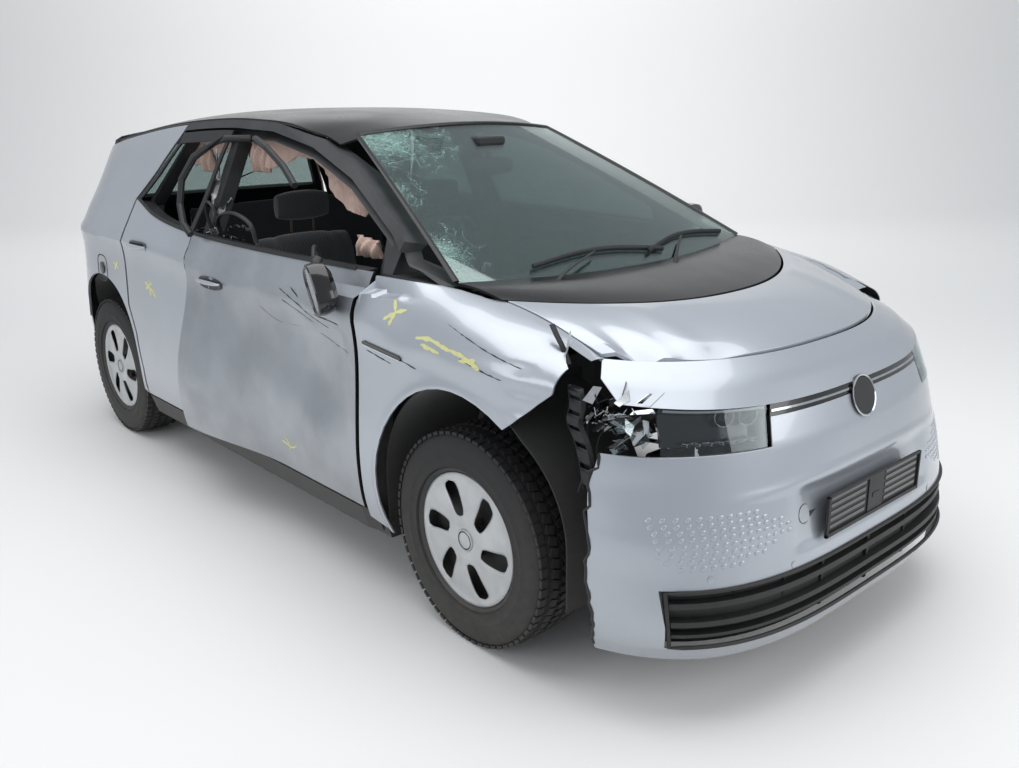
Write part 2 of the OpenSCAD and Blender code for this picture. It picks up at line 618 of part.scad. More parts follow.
// ---- Floor and heavy masses ----
// The floor's long edges rest against the sills
floor_low = 282;
floor_share = (floor_low - sill_z[0]) / (sill_z[1] - sill_z[0]);
sill_inner = mix(curve(half_width, sill_z[0]), curve(half_width, sill_z[1]), floor_share) - sill_deep;
floor_half = sill_inner * ky - seat;
boot_half = wheel_y - tyre_w / 2 - 50;
liner_r = 399;
liner_t = 4;
liner_front = front_axle_x - 3;
liner_rear = rear_axle_x - 5;
liner_in = [480, 440];
tail_inner = tail_start - tail_a(580) + skin_t + 6 * seat;
latch_z = 760;
gate_foot = gate_line[gate_rows];
gate_knee = gate_line[gate_rows - 1];
latch_share = (latch_z - gate_foot[1]) / (gate_knee[1] - gate_foot[1]);
latch_x = mix(gate_foot[0] + skin_t, gate_knee[0] + tailgate_t, latch_share) + 7 * seat;
function body_poly(p) = [for (q = p) [place_x(q[0]), place_z(q[1])]];
module slab(p, half) {
  rotate([90, 0, 0]) translate([0, 0, -half]) linear_extrude(2 * half) polygon(body_poly(p));
}
// An arch tunnel across the car: round above the arch's middle and straight below it
module tunnel(x, r, y0, y1, low) {
  translate([x, y0, arch_z]) rotate([-90, 0, 0]) cylinder(r = r, h = y1 - y0);
  translate([x - r, y0, low]) cube([2 * r, y1 - y0, arch_z - low]);
}
module floor_pan() {
  color(dark) difference() {
    union() {
      slab([
        [-1045, 402], [-700, 382], [-670, floor_low], [880, floor_low], [980, 400], [980, 560],
        [1040, 940], [1310, 978], [1310, 1066.6], [1290, 1066.6], [1290, 1000], [1018, 962], [950, 570],
        [950, 412], [862, 305], [-655, 305], [-682, 405], [-1020, 425], [-1046, 585], [-1990, 585],
        [-1990, 560], [-1072, 560]
      ], floor_half);
      slab([[-1990, 570], [-1968, 570], [-1968, latch_z], [-1990, latch_z]], 470);
      slab([[-1980, 560], [-1980, 585], [tail_inner, 585], [tail_inner, 560]], 90);
      slab([[-1980, latch_z - 25], [-1980, latch_z], [latch_x, latch_z], [latch_x, latch_z - 25]], 40);
    }
    for (s = [-1, 1]) {
      translate([place_x(-1030) - 2000, s > 0 ? boot_half : -boot_half - 1000, 0]) cube([2000, 1000, 1000]);
      translate([1000, s > 0 ? 650 * ky : -650 * ky - 200, 900]) cube([400, 200, 300]);
    }
    for (left = [true, false]) on_side(left) {
      tunnel(liner_front, liner_r + liner_t + seat, liner_in[0] - seat, 1000, 200);
      tunnel(liner_rear, liner_r + liner_t + seat, liner_in[1] - seat, 1000, 200);
    }
  }
}
module battery_pack() {
  x0 = place_x(-880);
  x1 = 780;
  color(steel) translate([x0, -600 * ky, 150]) cube([x1 - x0, 1200 * ky, floor_low - 150 - seat]);
}
module drive_motor() {
  color(steel) translate([rear_axle_x - 200 + seat, -250, 230]) cube([400 - 2 * seat, 500, 300]);
}

// ---- Cabin ----
column_x = 640;
column_z = 860;
column_y = 370;
column_tilt = 24;
module column_axis() {
  translate([column_x, column_y * ky, column_z]) rotate([0, -90 + column_tilt, 0]) children();
}
module dashboard() {
  color(black) difference() {
    slab([
      [600, 715], [610, 900], [690, 985], [800, 1020], [985, 1045], [1130, 1062], [1130, 1046],
      [1017, 1000], [1017.5, 962], [974.6, 715]
    ], 634 * ky);
    column_axis() translate([0, 0, -60]) cylinder(r = 15 + fit, h = 260);
  }
}
module steering_wheel() {
  reach = 235;
  color(black) column_axis() {
    translate([0, 0, -50]) cylinder(r = 15, h = reach + 50);
    translate([0, 0, reach]) rotate_extrude() translate([hand_wheel_r - 14, 0]) circle(14);
    translate([0, 0, reach - 22]) cylinder(r = 55, h = 44);
    for (a = [0, 90, 180]) rotate(a) translate([0, -14, reach - 8]) cube([hand_wheel_r - 14, 28, 16]);
  }
}
module seats() {
  color(black) {
    for (s = [-1, 1]) translate([0, s * 370 * ky, 0]) slab([
      [150, 305.3], [240, 470], [210, 545], [-180, 500], [-330, 1080], [-340, 1270], [-400, 1280],
      [-440, 1100], [-330, 480], [-260, 305.3]
    ], 245);
    slab([
      [-690, 405.9], [-590, 500], [-610, 570], [-980, 545], [-1120, 1060], [-1130, 1180],
      [-1190, 1180], [-1210, 1050], [-1045.4, 587], [-1019.2, 425.4]
    ], 560);
  }
}
module curtain_airbag_right() {
  xs = [for (t = steps(14)) mix(700, -960, t)];
  function fold(x) = 55 + 70 * pow(sin(x * 0.28), 2) * (x < 450 ? 1 : 0.2);
  function bottom(x) = curve(rail_line, x) - 62 - fold(x);
  function grid(d) = [
    for (i = [0:14]) [
      for (k = [0, 0.35, 0.7, 1])
        let(
          x = xs[i],
          z = mix(curve(rail_line, x) - 60, bottom(x), k),
          fat = (k == 0 || k == 1 || i == 0 || i == 14 ? 4 : 17),
          mid = side_y(x, z) - rail_deep - 7.4 - 45 * k
        )
        place([x, mid + (d ? -fat : fat), z])
    ]
  ];
  color("rosybrown") shell(grid(true), grid(false), all_cells(15, 4), false);
}

// ---- Front lamps and trim ----
module headlamps() {
  color(glass) {
    ring_patch(lamp_in + 14, 725, 2, 4, 1, 60, 8);
    mirror([0, 1, 0]) ring_patch(lamp_in + 14, 640, 2, 4, 1, 60, 6);
  }
}
plate_low = 455;
plate_share = (rings[6][3] - plate_low) / (rings[6][3] - rings[7][3]);
plate_x = front_axle_x + mix(rings[6][0], rings[7][0], plate_share) + seat;
badge_z = 800;
badge_share = (rings[3][3] - badge_z) / (rings[3][3] - rings[4][3]);
badge_tilt = atan((rings[4][0] - rings[3][0]) / (rings[3][3] - rings[4][3]));
badge_x = front_axle_x + mix(rings[3][0], rings[4][0], badge_share);
module nose_trim() {
  color(black) {
    ring_patch(-lamp_in - 2, lamp_in + 2, 2, 3, 1, 16, 10);
    translate([badge_x, 0, badge_z]) rotate([0, 90 - badge_tilt, 0])
      translate([0, 0, 6 * seat]) cylinder(r = 62, h = 9);
    ring_patch(-grille_end, grille_end, 7, 9, 1, 30, 16);
    translate([plate_x, -plate_half, plate_low]) cube([10, 2 * plate_half, 125]);
  }
}

// ---- Mirrors and the torn window frame ----
mirror_foot = side_y(695, 1088) * ky + 8 * seat;
module mirror_left() {
  color(black) {
    hull() {
      translate([700, 930 * ky, 1075]) sphere(32, $fn = 20);
      translate([705, 1003 * ky, 1085]) sphere(32, $fn = 20);
      translate([700, 930 * ky, 1150]) sphere(30, $fn = 20);
      translate([705, 1000 * ky, 1150]) sphere(28, $fn = 20);
    }
    translate([695, mirror_foot, 1088]) cube([46, 930 * ky - mirror_foot, 26]);
  }
}
mirror_skin = side_y(700, 1010) * ky;
module mirror_right() {
  y = -mirror_skin;
  color(black) {
    hull() {
      translate([640, y - 40, 1090]) sphere(26, $fn = 20);
      translate([740, y - 85, 1010]) sphere(30, $fn = 20);
      translate([700, y - 29, 1010]) sphere(28, $fn = 20);
      translate([650, y - 66, 1080]) sphere(28, $fn = 20);
    }
    tube([[640, y - 40, 1105], [610, y - 25, 1150], [570, y + 5, 1170], [556, y + 30, 1128]], 7);
  }
}
// Tube with eight sides along a list of points
module tube(path, r, sides = 8) {
  n = len(path);
  function unit(v) = v / norm(v);
  function run(i) = unit(path[min(i + 1, n - 1)] - path[max(i - 1, 0)]);
  function ring(i) =
    let(t = run(i), a = unit(cross(t, abs(t[1]) > 0.8 ? [1, 0, 0] : [0, 1, 0])), b = cross(t, a))
    [for (k = [0:sides - 1]) path[i] + r * (cos(360 * k / sides) * a + sin(360 * k / sides) * b)];
  points = [for (i = [0:n - 1]) each ring(i)];
  walls = [for (i = [0:n - 2]) for (k = [0:sides - 1]) let(m = (k + 1) % sides) each [
    [i * sides + k, i * sides + m, (i + 1) * sides + m],
    [i * sides + k, (i + 1) * sides + m, (i + 1) * sides + k]
  ]];
  caps = concat(
    [for (k = [1:sides - 2]) [0, k + 1, k]],
    [for (k = [1:sides - 2]) [(n - 1) * sides, (n - 1) * sides + k, (n - 1) * sides + k + 1]]
  );
  polyhedron(points, [for (f = concat(walls, caps)) [f[2], f[1], f[0]]]);
}
bent_z = curve(rail_line, -300) - 70;
bent_y = 30 - side_y(-300, bent_z);
bent_rear = [
  [-318, bent_y - 8.6, bent_z], [-380, -700, 1490], [-420, -760, 1460], [-470, -800, 1420],
  [-520, -840, 1330], [-500, -868, 1230], [-440, -888, 1160], [-390, -884, 1120]
];
bent_front = [
  [-282, bent_y - 10.5, bent_z], [-120, -700, 1496], [60, -752, 1470], [220, -778, 1410], [330, -800, 1350]
];
module bent_window_frame() {
  color(black) {
    tube([for (p = bent_rear) place(p)], 15);
    tube([for (p = bent_front) place(p)], 13);
  }
}

// ---- Arch liners ----
liner_low = 250;
// Outline of the room inside the wings and bumpers, from above
liner_plan = [
  [[860, 0], [860, 858], [1560, 856], [1720, 815], [1720, 0]],
  [[-1040, 0], [-1040, 858], [-1700, 850], [-1800, 820], [-1900, 770], [-1900, 0]]
];
module arch_liner(n) {
  x = n == 0 ? liner_front : liner_rear;
  y0 = liner_in[n];
  wall = n == 0 ? -1 : liner_t;
  difference() {
    intersection() {
      tunnel(x, liner_r + liner_t, y0, 900, liner_low);
      translate([0, 0, liner_low]) linear_extrude(900)
        polygon([for (q = liner_plan[n]) [place_x(q[0]), q[1] * ky]]);
    }
    tunnel(x, liner_r, y0 + wall, 901, liner_low - 1);
    if (n == 0) translate([x, top_y - 20, arch_z + liner_r]) cube([210, 250, 130], center = true);
    if (n == 1) translate([rear_axle_x - 40, y0 - 1, 200]) cube([80, liner_t + 3, axle_z + 40 - 200]);
  }
}
module arch_liners() {
  color(black) for (left = [true, false]) for (n = [0, 1]) on_side(left) arch_liner(n);
}

// ---- Wheels ----
module on_wheel(x, left) {
  translate([x, left ? wheel_y : -wheel_y, axle_z]) rotate([left ? -90 : 90, 0, 0]) children();
}
module tyre(x, left) {
  h = tyre_w / 2;
  color(black) on_wheel(x, left) rotate_extrude($fn = 96) polygon([
    [rim_r + seat, -h + 10], [rim_r + 10, -h + 4], [rim_r + 55, -h], [tyre_r - 28, -h + 4],
    [tyre_r - 8, -h + 14], [tyre_r, -h + 30], [tyre_r, h - 30], [tyre_r - 8, h - 14],
    [tyre_r - 28, h - 4], [rim_r + 55, h], [rim_r + 10, h - 4], [rim_r + seat, h - 10]
  ]);
}
module wheel(x, left, driven) {
  w = tyre_w / 2 - 10;
  hub_r = 62;
  bore = driven ? 0 : spindle_r + fit;
  color(silver) on_wheel(x, left) {
    difference() {
      union() {
        rotate_extrude($fn = 96) polygon([
          [rim_r - 7, -w], [rim_r, -w], [rim_r, w], [rim_r - 7, w - 2], [200, w + 4], [60, w - 2], [0, w - 6],
          [0, w - 18], [60, w - 14], [200, w - 8], [rim_r - 7, w - 14]
        ]);
        cylinder(r = hub_r, h = w - 16);
        translate([0, 0, 38]) cylinder(r = rim_r - 2, h = 12);
        translate([0, 0, -58]) cylinder(r = hub_r, h = 60);
        translate([0, 0, -3]) cylinder(r = disc_r, h = 18);
      }
      for (i = [0:slots - 1]) rotate(i * 360 / slots + 20) translate([96, -24, 60]) cube([96, 42, 80]);
      if (!driven) translate([0, 0, -59]) cylinder(r = bore, h = 110);
    }
    if (driven) translate([0, 0, -wheel_y + 258]) cylinder(r = spindle_r, h = wheel_y - 258 - 50);
  }
}

// ---- Front running gear ----
module on_side(left) {
  mirror([0, left ? 0 : 1, 0]) children();
}
// Local frame on the steering axis, Z along the axis from the lower ball joint
module on_king() {
  translate([front_axle_x, ball_y, ball_z]) rotate([king_tilt, 0, 0]) children();
}
rack_z = 318;
rack_x = front_axle_x - steer_arm + 10;
pin_r = 12;
module knuckle(left) {
  stud_y = king_y(rack_z);
  color(steel) on_side(left) difference() {
    union() {
      translate([front_axle_x, wheel_y - 93, axle_z]) rotate([-90, 0, 0]) cylinder(r = 55, h = 28);
      translate([front_axle_x, wheel_y - 80, axle_z]) rotate([-90, 0, 0]) cylinder(r = spindle_r, h = 122);
      translate([front_axle_x - 22, 0, 0]) rotate([90, 0, 90]) linear_extrude(44) polygon([
        [ball_y - 22, 213], [ball_y + 16, 213], [wheel_y - 66, 300], [wheel_y - 66, 400],
        [wheel_y - 100, 440], [wheel_y - 122, 500], [wheel_y - 122, 560], [wheel_y - 165, 560],
        [wheel_y - 165, 470], [wheel_y - 93, 330]
      ]);
      translate([front_axle_x, wheel_y - 145, 500]) rotate([3.2, 0, 0]) cylinder(r = 24, h = 330);
      translate([front_axle_x, wheel_y - 157, 722]) rotate([3.2, 0, 0]) cylinder(r = 60, h = 105);
      on_king() translate([0, 0, king_len - 32]) cylinder(r = 45, h = 27);
      on_king() translate([0, 0, king_len - 32]) cylinder(r = pin_r, h = 52);
      translate([front_axle_x - steer_arm - 14, stud_y - 15, 284]) cube([steer_arm, 30, 12]);
      translate([front_axle_x - steer_arm, stud_y, 284]) cylinder(r = 8, h = 62);
      difference() {
        translate([front_axle_x - 182, wheel_y - 66, 346]) cube([64, 96, 82]);
        translate([front_axle_x, wheel_y - 9, axle_z]) rotate([-90, 0, 0]) cylinder(r = disc_r + 6, h = 30);
      }
      translate([front_axle_x - 130, wheel_y - 80, 346]) cube([130, 14, 44]);
    }
    on_king() translate([0, 0, -40]) cylinder(r = pin_r + fit, h = 75);
  }
}
// Underside of the bonnet over the front edge of the latch
bonnet_t = (1915 - cowl_front(0)[0]) / (front_axle_x + rings[0][0] - cowl_front(0)[0]);
bonnet_low = mix(cowl_front(0)[2], rings[0][3], bonnet_t) + 56 * bonnet_t * (1 - bonnet_t) - 12.6;
module bumper_block() {
  p = ring_point(6, 2 * 133, skin_t);
  translate([1990, p[1] * ky - 60, rings[6][3] - 40]) cube([p[0] - seat - 1990, 60, 40]);
}
module front_frame() {
  color(dark) difference() {
    union() {
      for (left = [true, false]) on_side(left) {
        translate([980 + seat, 370, 430]) cube([975 - seat, 60, 110]);
        translate([1225, 375, 540]) cube([150, 55, 325]);
        translate([1225, 375, 834]) cube([150, 160, 40]);
        translate([1880, 385, 540]) cube([40, 40, 350]);
        bumper_block();
        on_king() translate([0, 0, king_len]) cylinder(r = 80, h = 12);
        for (x = [1130, 1420]) translate([x, 330, 180]) cube([50, 100, 250]);
        translate([0, 0, 186]) linear_extrude(24) polygon([
          [1190, 320], [1410, 320], [1322, ball_y + 14], [1278, ball_y + 14]
        ]);
        on_king() translate([0, 0, -14]) cylinder(r = pin_r, h = 44);
        translate([rack_x, 130, rack_z]) rotate([-90, 0, 0]) cylinder(r = rack_r + 12, h = 90);
        translate([rack_x - 20, 140, 220]) cube([40, 70, 80]);
      }
      translate([1125, -340, 180]) cube([350, 680, 50]);
      translate([1955, -520, 430]) cube([45, 1040, 110]);
      translate([1880, -425, 850]) cube([40, 850, 40]);
      translate([1885, -30, 880]) cube([30, 60, bonnet_low - 880]);
    }
    translate([rack_x, 0, rack_z]) rotate([90, 0, 0]) cylinder(r = rack_r + fit, h = 600, center = true);
    for (left = [true, false]) on_side(left)
      on_king() translate([0, 0, king_len - 4]) cylinder(r = pin_r + fit, h = 40);
  }
}
module steering_rack() {
  eye_y = king_y(rack_z);
  color(steel) {
    translate([rack_x, 0, rack_z]) rotate([90, 0, 0]) cylinder(r = rack_r, h = 2 * eye_y - 50, center = true);
    for (left = [true, false]) on_side(left) translate([rack_x, eye_y, rack_z - 8]) difference() {
      cylinder(r = 33, h = 16);
      translate([0, 0, -1]) cylinder(r = 23, h = 18);
    }
  }
}
damper_r = 22;
damper_off = 110 + rear_axle_x - liner_rear + damper_r;
damper_top = arch_z + sqrt(liner_r * liner_r - damper_off * damper_off) - seat;
module rear_axle() {
  x = rear_axle_x;
  color(steel) difference() {
    union() {
      for (left = [true, false]) on_side(left) {
        translate([x, wheel_y - 175, axle_z]) rotate([-90, 0, 0]) cylinder(r = 45, h = 112);
        translate([x - 30, wheel_y - 175, 200]) cube([60, 40, 200]);
        translate([x - 22, 320, 236]) cube([44, wheel_y - 320 - 150, 34]);
        translate([x - 240, 300, 230]) cube([480, 40, 60]);
        for (dx = [-200, 200]) translate([x + dx - 20, 300, 280]) cube([40, 40, 560 - seat - 280]);
        translate([x + 80, 372, 262]) cylinder(r = 45, h = 560 - seat - 262);
        translate([x - 110, wheel_y - 195, 262]) cylinder(r = damper_r, h = damper_top - 262);
        translate([x - 130, wheel_y - 215, 236]) cube([130, 50, 34]);
      }
      for (dx = [-240, 200]) translate([x + dx, -320, 236]) cube([40, 640, 48]);
    }
    translate([x, 0, axle_z]) rotate([90, 0, 0]) cylinder(r = spindle_r + fit, h = 2 * wheel_y, center = true);
  }
}

module side_frames() {
  side_frame(true);
  side_frame(false);
}
module rear_quarters() {
  rear_quarter(true);
  rear_quarter(false);
}

floor_pan();
battery_pack();
drive_motor();
side_frames();
rear_quarters();
roof_panel();
windscreen();
cowl_panel();
dashboard();
steering_wheel();
seats();
curtain_airbag_right();
bonnet();
front_wing(true);  // front_wing_left
front_wing(false, true);  // front_wing_right
front_bumper();
nose_trim();
headlamps();
door(false, true);  // front_door_left
door(false, false, false, false, true);  // front_door_right
door(true, true);  // rear_door_left
door(true, false);  // rear_door_right
pane(false);  // door_glass_front_left
pane(true);  // door_glass_rear_left
mirror_left();
mirror_right();
bent_window_frame();
tailgate();
tailgate_glass();
rear_bumper();
tail_lamps();
arch_liners();
front_frame();
steering_rack();
knuckle(true);  // knuckle_left
knuckle(false);  // knuckle_right
rear_axle();
wheel(front_axle_x, true, false);  // wheel_front_left
wheel(front_axle_x, false, false);  // wheel_front_right
wheel(rear_axle_x, true, true);  // wheel_rear_left
wheel(rear_axle_x, false, true);  // wheel_rear_right
tyre(front_axle_x, true);  // tyre_front_left
tyre(front_axle_x, false);  // tyre_front_right
tyre(rear_axle_x, true);  // tyre_rear_left
tyre(rear_axle_x, false);  // tyre_rear_right
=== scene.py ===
import math
import random

import bmesh
import bpy
import numpy as np
from mathutils import Matrix, Vector


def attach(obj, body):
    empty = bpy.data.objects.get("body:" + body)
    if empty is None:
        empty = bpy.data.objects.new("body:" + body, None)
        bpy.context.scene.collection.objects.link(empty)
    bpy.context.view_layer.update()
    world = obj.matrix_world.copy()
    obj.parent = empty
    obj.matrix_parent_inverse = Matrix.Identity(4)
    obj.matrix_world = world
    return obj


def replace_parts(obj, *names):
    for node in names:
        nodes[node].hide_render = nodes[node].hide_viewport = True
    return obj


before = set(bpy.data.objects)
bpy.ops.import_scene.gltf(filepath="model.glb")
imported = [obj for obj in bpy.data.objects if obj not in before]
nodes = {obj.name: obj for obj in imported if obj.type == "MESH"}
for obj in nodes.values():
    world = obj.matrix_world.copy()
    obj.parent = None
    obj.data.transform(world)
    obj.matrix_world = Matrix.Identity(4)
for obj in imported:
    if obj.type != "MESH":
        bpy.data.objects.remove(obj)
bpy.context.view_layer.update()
print("frame loaded:", len(nodes), "nodes")


# ---- camera, lights, floor ----
studio = {
    "cameraPlace": (3.387, -2.527, 1.643),
    "yaw": 138.31,
    "pitch": -16.70,
    "roll": -0.766,
    "lens": 33.95,
    "floor": "#EDEDEC",
    "world": "#F1F2F4",
}


def linear(hexColour):  # sRGB hex to a linear colour with alpha
    parts = [int(hexColour[i:i + 2], 16) / 255 for i in (1, 3, 5)]
    return tuple(p / 12.92 if p <= 0.04045 else ((p + 0.055) / 1.055) ** 2.4 for p in parts) + (1.0,)


def addNode(tree, kind, links=None, **settings):  # one node with its settings and its links
    node = tree.nodes.new(kind)
    for key, value in settings.items():
        setattr(node, key, value)
    for socket, value in (links or {}).items():
        if isinstance(value, bpy.types.NodeSocket):
            tree.links.new(value, node.inputs[socket])
        else:
            node.inputs[socket].default_value = value
    return node


def makeCamera():
    yaw, pitch, roll = (math.radians(studio[k]) for k in ("yaw", "pitch", "roll"))
    ahead = Vector((math.cos(pitch) * math.cos(yaw), math.cos(pitch) * math.sin(yaw), math.sin(pitch)))
    right = ahead.cross(Vector((0, 0, 1))).normalized()
    up = right.cross(ahead)
    right, up = (
        math.cos(roll) * right + math.sin(roll) * up,
        math.cos(roll) * up - math.sin(roll) * right,
    )
    camera = bpy.data.objects.new("camera", bpy.data.cameras.new("camera"))
    camera.data.lens = studio["lens"]
    camera.data.sensor_width = 36
    turn = Matrix((right, up, -ahead)).transposed().to_4x4()
    camera.matrix_world = Matrix.Translation(studio["cameraPlace"]) @ turn
    bpy.context.scene.collection.objects.link(camera)
    bpy.context.scene.camera = camera


def softbox(name, place, aim, size, watts):
    lamp = bpy.data.lights.new(name, "AREA")
    lamp.shape = "RECTANGLE"
    lamp.size, lamp.size_y = size
    lamp.energy = watts
    box = bpy.data.objects.new(name, lamp)
    direction = Vector(aim) - Vector(place)
    box.matrix_world = Matrix.Translation(place) @ direction.to_track_quat("-Z", "Y").to_matrix().to_4x4()
    bpy.context.scene.collection.objects.link(box)


def makeStudio():
    softbox("softboxTop", (0.6, -0.4, 4.6), (0.2, 0, 0.6), (6.0, 4.2), 165)
    softbox("softboxFront", (5.6, 1.6, 2.6), (0.8, 0, 0.6), (3.6, 2.4), 70)
    softbox("softboxSide", (0.4, -6.0, 2.4), (0.2, 0, 0.7), (5.0, 2.2), 60)
    softbox("softboxWall", (-4.2, 3.8, 6.6), (-8.4, 7.5, 1.6), (9.0, 2.5), 330)
    world = bpy.data.worlds.new("world")
    world.use_nodes = True
    bpy.context.scene.world = world
    tree = world.node_tree
    tree.nodes.clear()
    path = addNode(tree, "ShaderNodeLightPath")
    seen = addNode(tree, "ShaderNodeMath", {0: path.outputs["Is Camera Ray"], 1: path.outputs["Is Transmission Ray"]}, operation="MAXIMUM")
    pale = addNode(tree, "ShaderNodeBackground", {"Color": linear(studio["world"]), "Strength": 1.0})
    lit = addNode(tree, "ShaderNodeBackground", {"Color": linear("#E4E8EE"), "Strength": 0.62})
    both = addNode(tree, "ShaderNodeMixShader", {0: seen.outputs[0], 1: lit.outputs[0], 2: pale.outputs[0]})
    addNode(tree, "ShaderNodeOutputWorld", {"Surface": both.outputs[0]})
    mesh = bpy.data.meshes.new("studioFloor")
    reach, back, high = 16.0, 9.0, 7.0
    bend = [(reach, 0.0)] + [(-back + 0.0, 0.0)]
    bend += [(-back - 2.5 * math.sin(a), 2.5 - 2.5 * math.cos(a)) for a in np.linspace(0, math.pi / 2, 10)[1:]]
    bend += [(-back - 2.5, high)]
    verts = [(x, y, z) for x, z in bend for y in (-18.0, 18.0)]
    turned = Matrix.Rotation(math.radians(studio["yaw"] - 180), 4, "Z")
    verts = [turned @ Vector(v) for v in verts]
    mesh.from_pydata(verts, [], [(2 * i, 2 * i + 2, 2 * i + 3, 2 * i + 1) for i in range(len(bend) - 1)])
    for p in mesh.polygons:
        p.use_smooth = True
    floor = bpy.data.objects.new("studioFloor", mesh)
    bpy.context.scene.collection.objects.link(floor)
    paper = bpy.data.materials.new("pale paper backdrop")
    paper.use_nodes = True
    bsdf = paper.node_tree.nodes["Principled BSDF"]
    bsdf.inputs["Base Color"].default_value = linear(studio["floor"])
    bsdf.inputs["Roughness"].default_value = 0.9
    mesh.materials.append(paper)


makeCamera()
makeStudio()
bpy.context.scene.view_settings.view_transform = "Standard"
print("studio ready")


# ---- shape of the body ----
# The same lines as the CAD panels, in millimetres, drawn on a finer net
bodyLines = {
    "halfWidth": [
        (180, 842), (250, 868), (350, 893), (480, 903), (600, 899), (750, 889), (850, 886), (930, 892),
        (965, 896), (1000, 888), (1050, 868), (1100, 852), (1241, 772), (1400, 690), (1510, 625), (1580, 575),
    ],
    "rail": [
        (-1900, 1400), (-1650, 1448), (-1500, 1475), (-1100, 1528), (-700, 1556), (-350, 1560), (0, 1535),
        (410, 1415), (783, 1241), (1120, 1082),
    ],
    "roof": [
        (-1900, 1462), (-1650, 1527), (-1400, 1565), (-1000, 1592), (-600, 1600), (-300, 1596), (0, 1579), (300, 1545),
    ],
    "sill": [(-1135, 1206), (-886, 1150), (-550, 1118), (-200, 1106), (900, 1100)],
    "wingTop": [(785, 1092), (1000, 1096), (1120, 1090), (1307, 1066), (1500, 1030), (1690, 966), (1760, 935)],
    "wingIn": [(785, 852), (1000, 792), (1120, 748), (1307, 705), (1500, 695), (1690, 684), (1760, 672)],
    "noseReach": [(180, 845), (250, 868), (370, 864), (500, 845), (600, 830), (740, 803), (815, 778), (900, 740)],
    "noseRound": [(180, 3.4), (500, 3.2), (740, 2.8), (900, 2.6)],
    "tailReach": [
        (200, 597), (450, 632), (700, 612), (860, 597), (1040, 578), (1100, 580), (1290, 548), (1430, 530), (1500, 500),
    ],
    "creaseFade": [(500, 0), (800, 1), (1000, 1), (1095, 0)],
}
bodyPlaces = {
    "frontAxle": 1300, "rearAxle": -1470, "doorFront": 785, "doorSplit": -460, "tailStart": -1500,
    "archRadius": 395, "archHeight": 430, "archFront": 1292, "archRear": -1475, "gap": 5,
}
mm = 0.001


def curve(name, x):  # smooth curve through a named table of places and values
    table = np.array(bodyLines[name] if isinstance(name, str) else name, float)
    place, value = table[:, 0], table[:, 1]
    x = np.clip(np.asarray(x, float), place[0], place[-1])
    i = np.clip(np.searchsorted(place, x, side="right") - 1, 0, len(place) - 2)
    order = np.arange(len(place))
    low, high = np.maximum(order - 1, 0), np.minimum(order + 1, len(place) - 1)
    slope = (value[high] - value[low]) / (place[high] - place[low])
    h = place[i + 1] - place[i]
    t = (x - place[i]) / h
    a, b = t ** 3, t * t
    return (2 * a - 3 * b + 1) * value[i] + (a - 2 * b + t) * h * slope[i] + (3 * b - 2 * a) * value[i + 1] + (a - b) * h * slope[i + 1]


def mix(a, b, t):
    return a + (b - a) * t


def ease(t):
    t = np.clip(t, 0, 1)
    return t * t * (3 - 2 * t)


def doorY(x, z):
    x, z = np.asarray(x, float), np.asarray(z, float)
    lift = 75 * ease(-x / 900) * curve("creaseFade", z)
    wide = curve("halfWidth", z - lift)
    taper = np.maximum(0.05, 1 - np.clip((x + 300) / (2654 - (z - 1100) * 4.11), 0, None) ** 2.2) ** 0.4545
    wide = wide * np.where((z <= 1050) | (x < -300), 1, taper)
    tail = np.maximum(0.001, 1 - np.clip((bodyPlaces["tailStart"] - x) / curve("tailReach", z), 0, None) ** 3) ** (1 / 3)
    return wide * np.where(x > bodyPlaces["tailStart"], 1, tail)


def wingY(x, z):
    x, z = np.asarray(x, float), np.asarray(z, float)
    lowZ = np.minimum(z, 900)
    power = curve("noseRound", lowZ)
    nose = np.maximum(0.001, 1 - np.clip((x - 1300) / curve("noseReach", lowZ), 0, None) ** power) ** (1 / power)
    low = curve("halfWidth", lowZ) * np.where(x < 1300, 1, nose)
    q = np.clip((z - 900) / (curve("wingTop", x) - 900), 0, 1)
    roundness = mix(1, 0.5, ease((x - 900) / 400))
    return np.where(z < 900, low, low - (low - curve("wingIn", x)) * (1 - np.maximum(0, 1 - q * q) ** roundness))


def sideY(x, z):  # half width of the body side at a place
    x = np.asarray(x, float)
    return np.where(x < 785, doorY(x, z), mix(doorY(x, z), wingY(x, z), ease((x - 785) / 300)))


rings = np.array([
    (650, 770, 2.4, 945, 25), (722, 825, 2.5, 902, 35), (772, 872, 2.6, 846, 50), (780, 882, 2.65, 816, 40),
    (803, 886, 2.8, 742, 12), (818, 891, 2.9, 660, 0), (838, 897, 3.1, 540, 0), (856, 900, 3.3, 400, 0),
    (868, 893, 3.4, 300, 0), (866, 885, 3.4, 238, 0), (845, 862, 3.4, 186, 0),
], float)


def ringPoint(k, y, inset=0.0):  # point on the nose at ring k and half width y
    k, y = np.asarray(k, float), np.asarray(y, float)
    i = np.clip(np.floor(k).astype(int), 0, 9)
    t = k - i
    r = rings[i] + (rings[i + 1] - rings[i]) * t[..., None]
    s = np.clip(np.abs(y) / 885, 0, 1) ** 1.4
    c = np.sqrt(1 - s * s)
    x = 1300 + (r[..., 0] - inset) * c ** (2 / r[..., 2])
    side = np.sign(y) * (r[..., 1] - inset) * s ** (2 / r[..., 2])
    z = r[..., 3] + r[..., 4] * s ** 3 - np.where(k < 2, inset * 0.7, 0)
    return np.stack([x, side, z], -1)


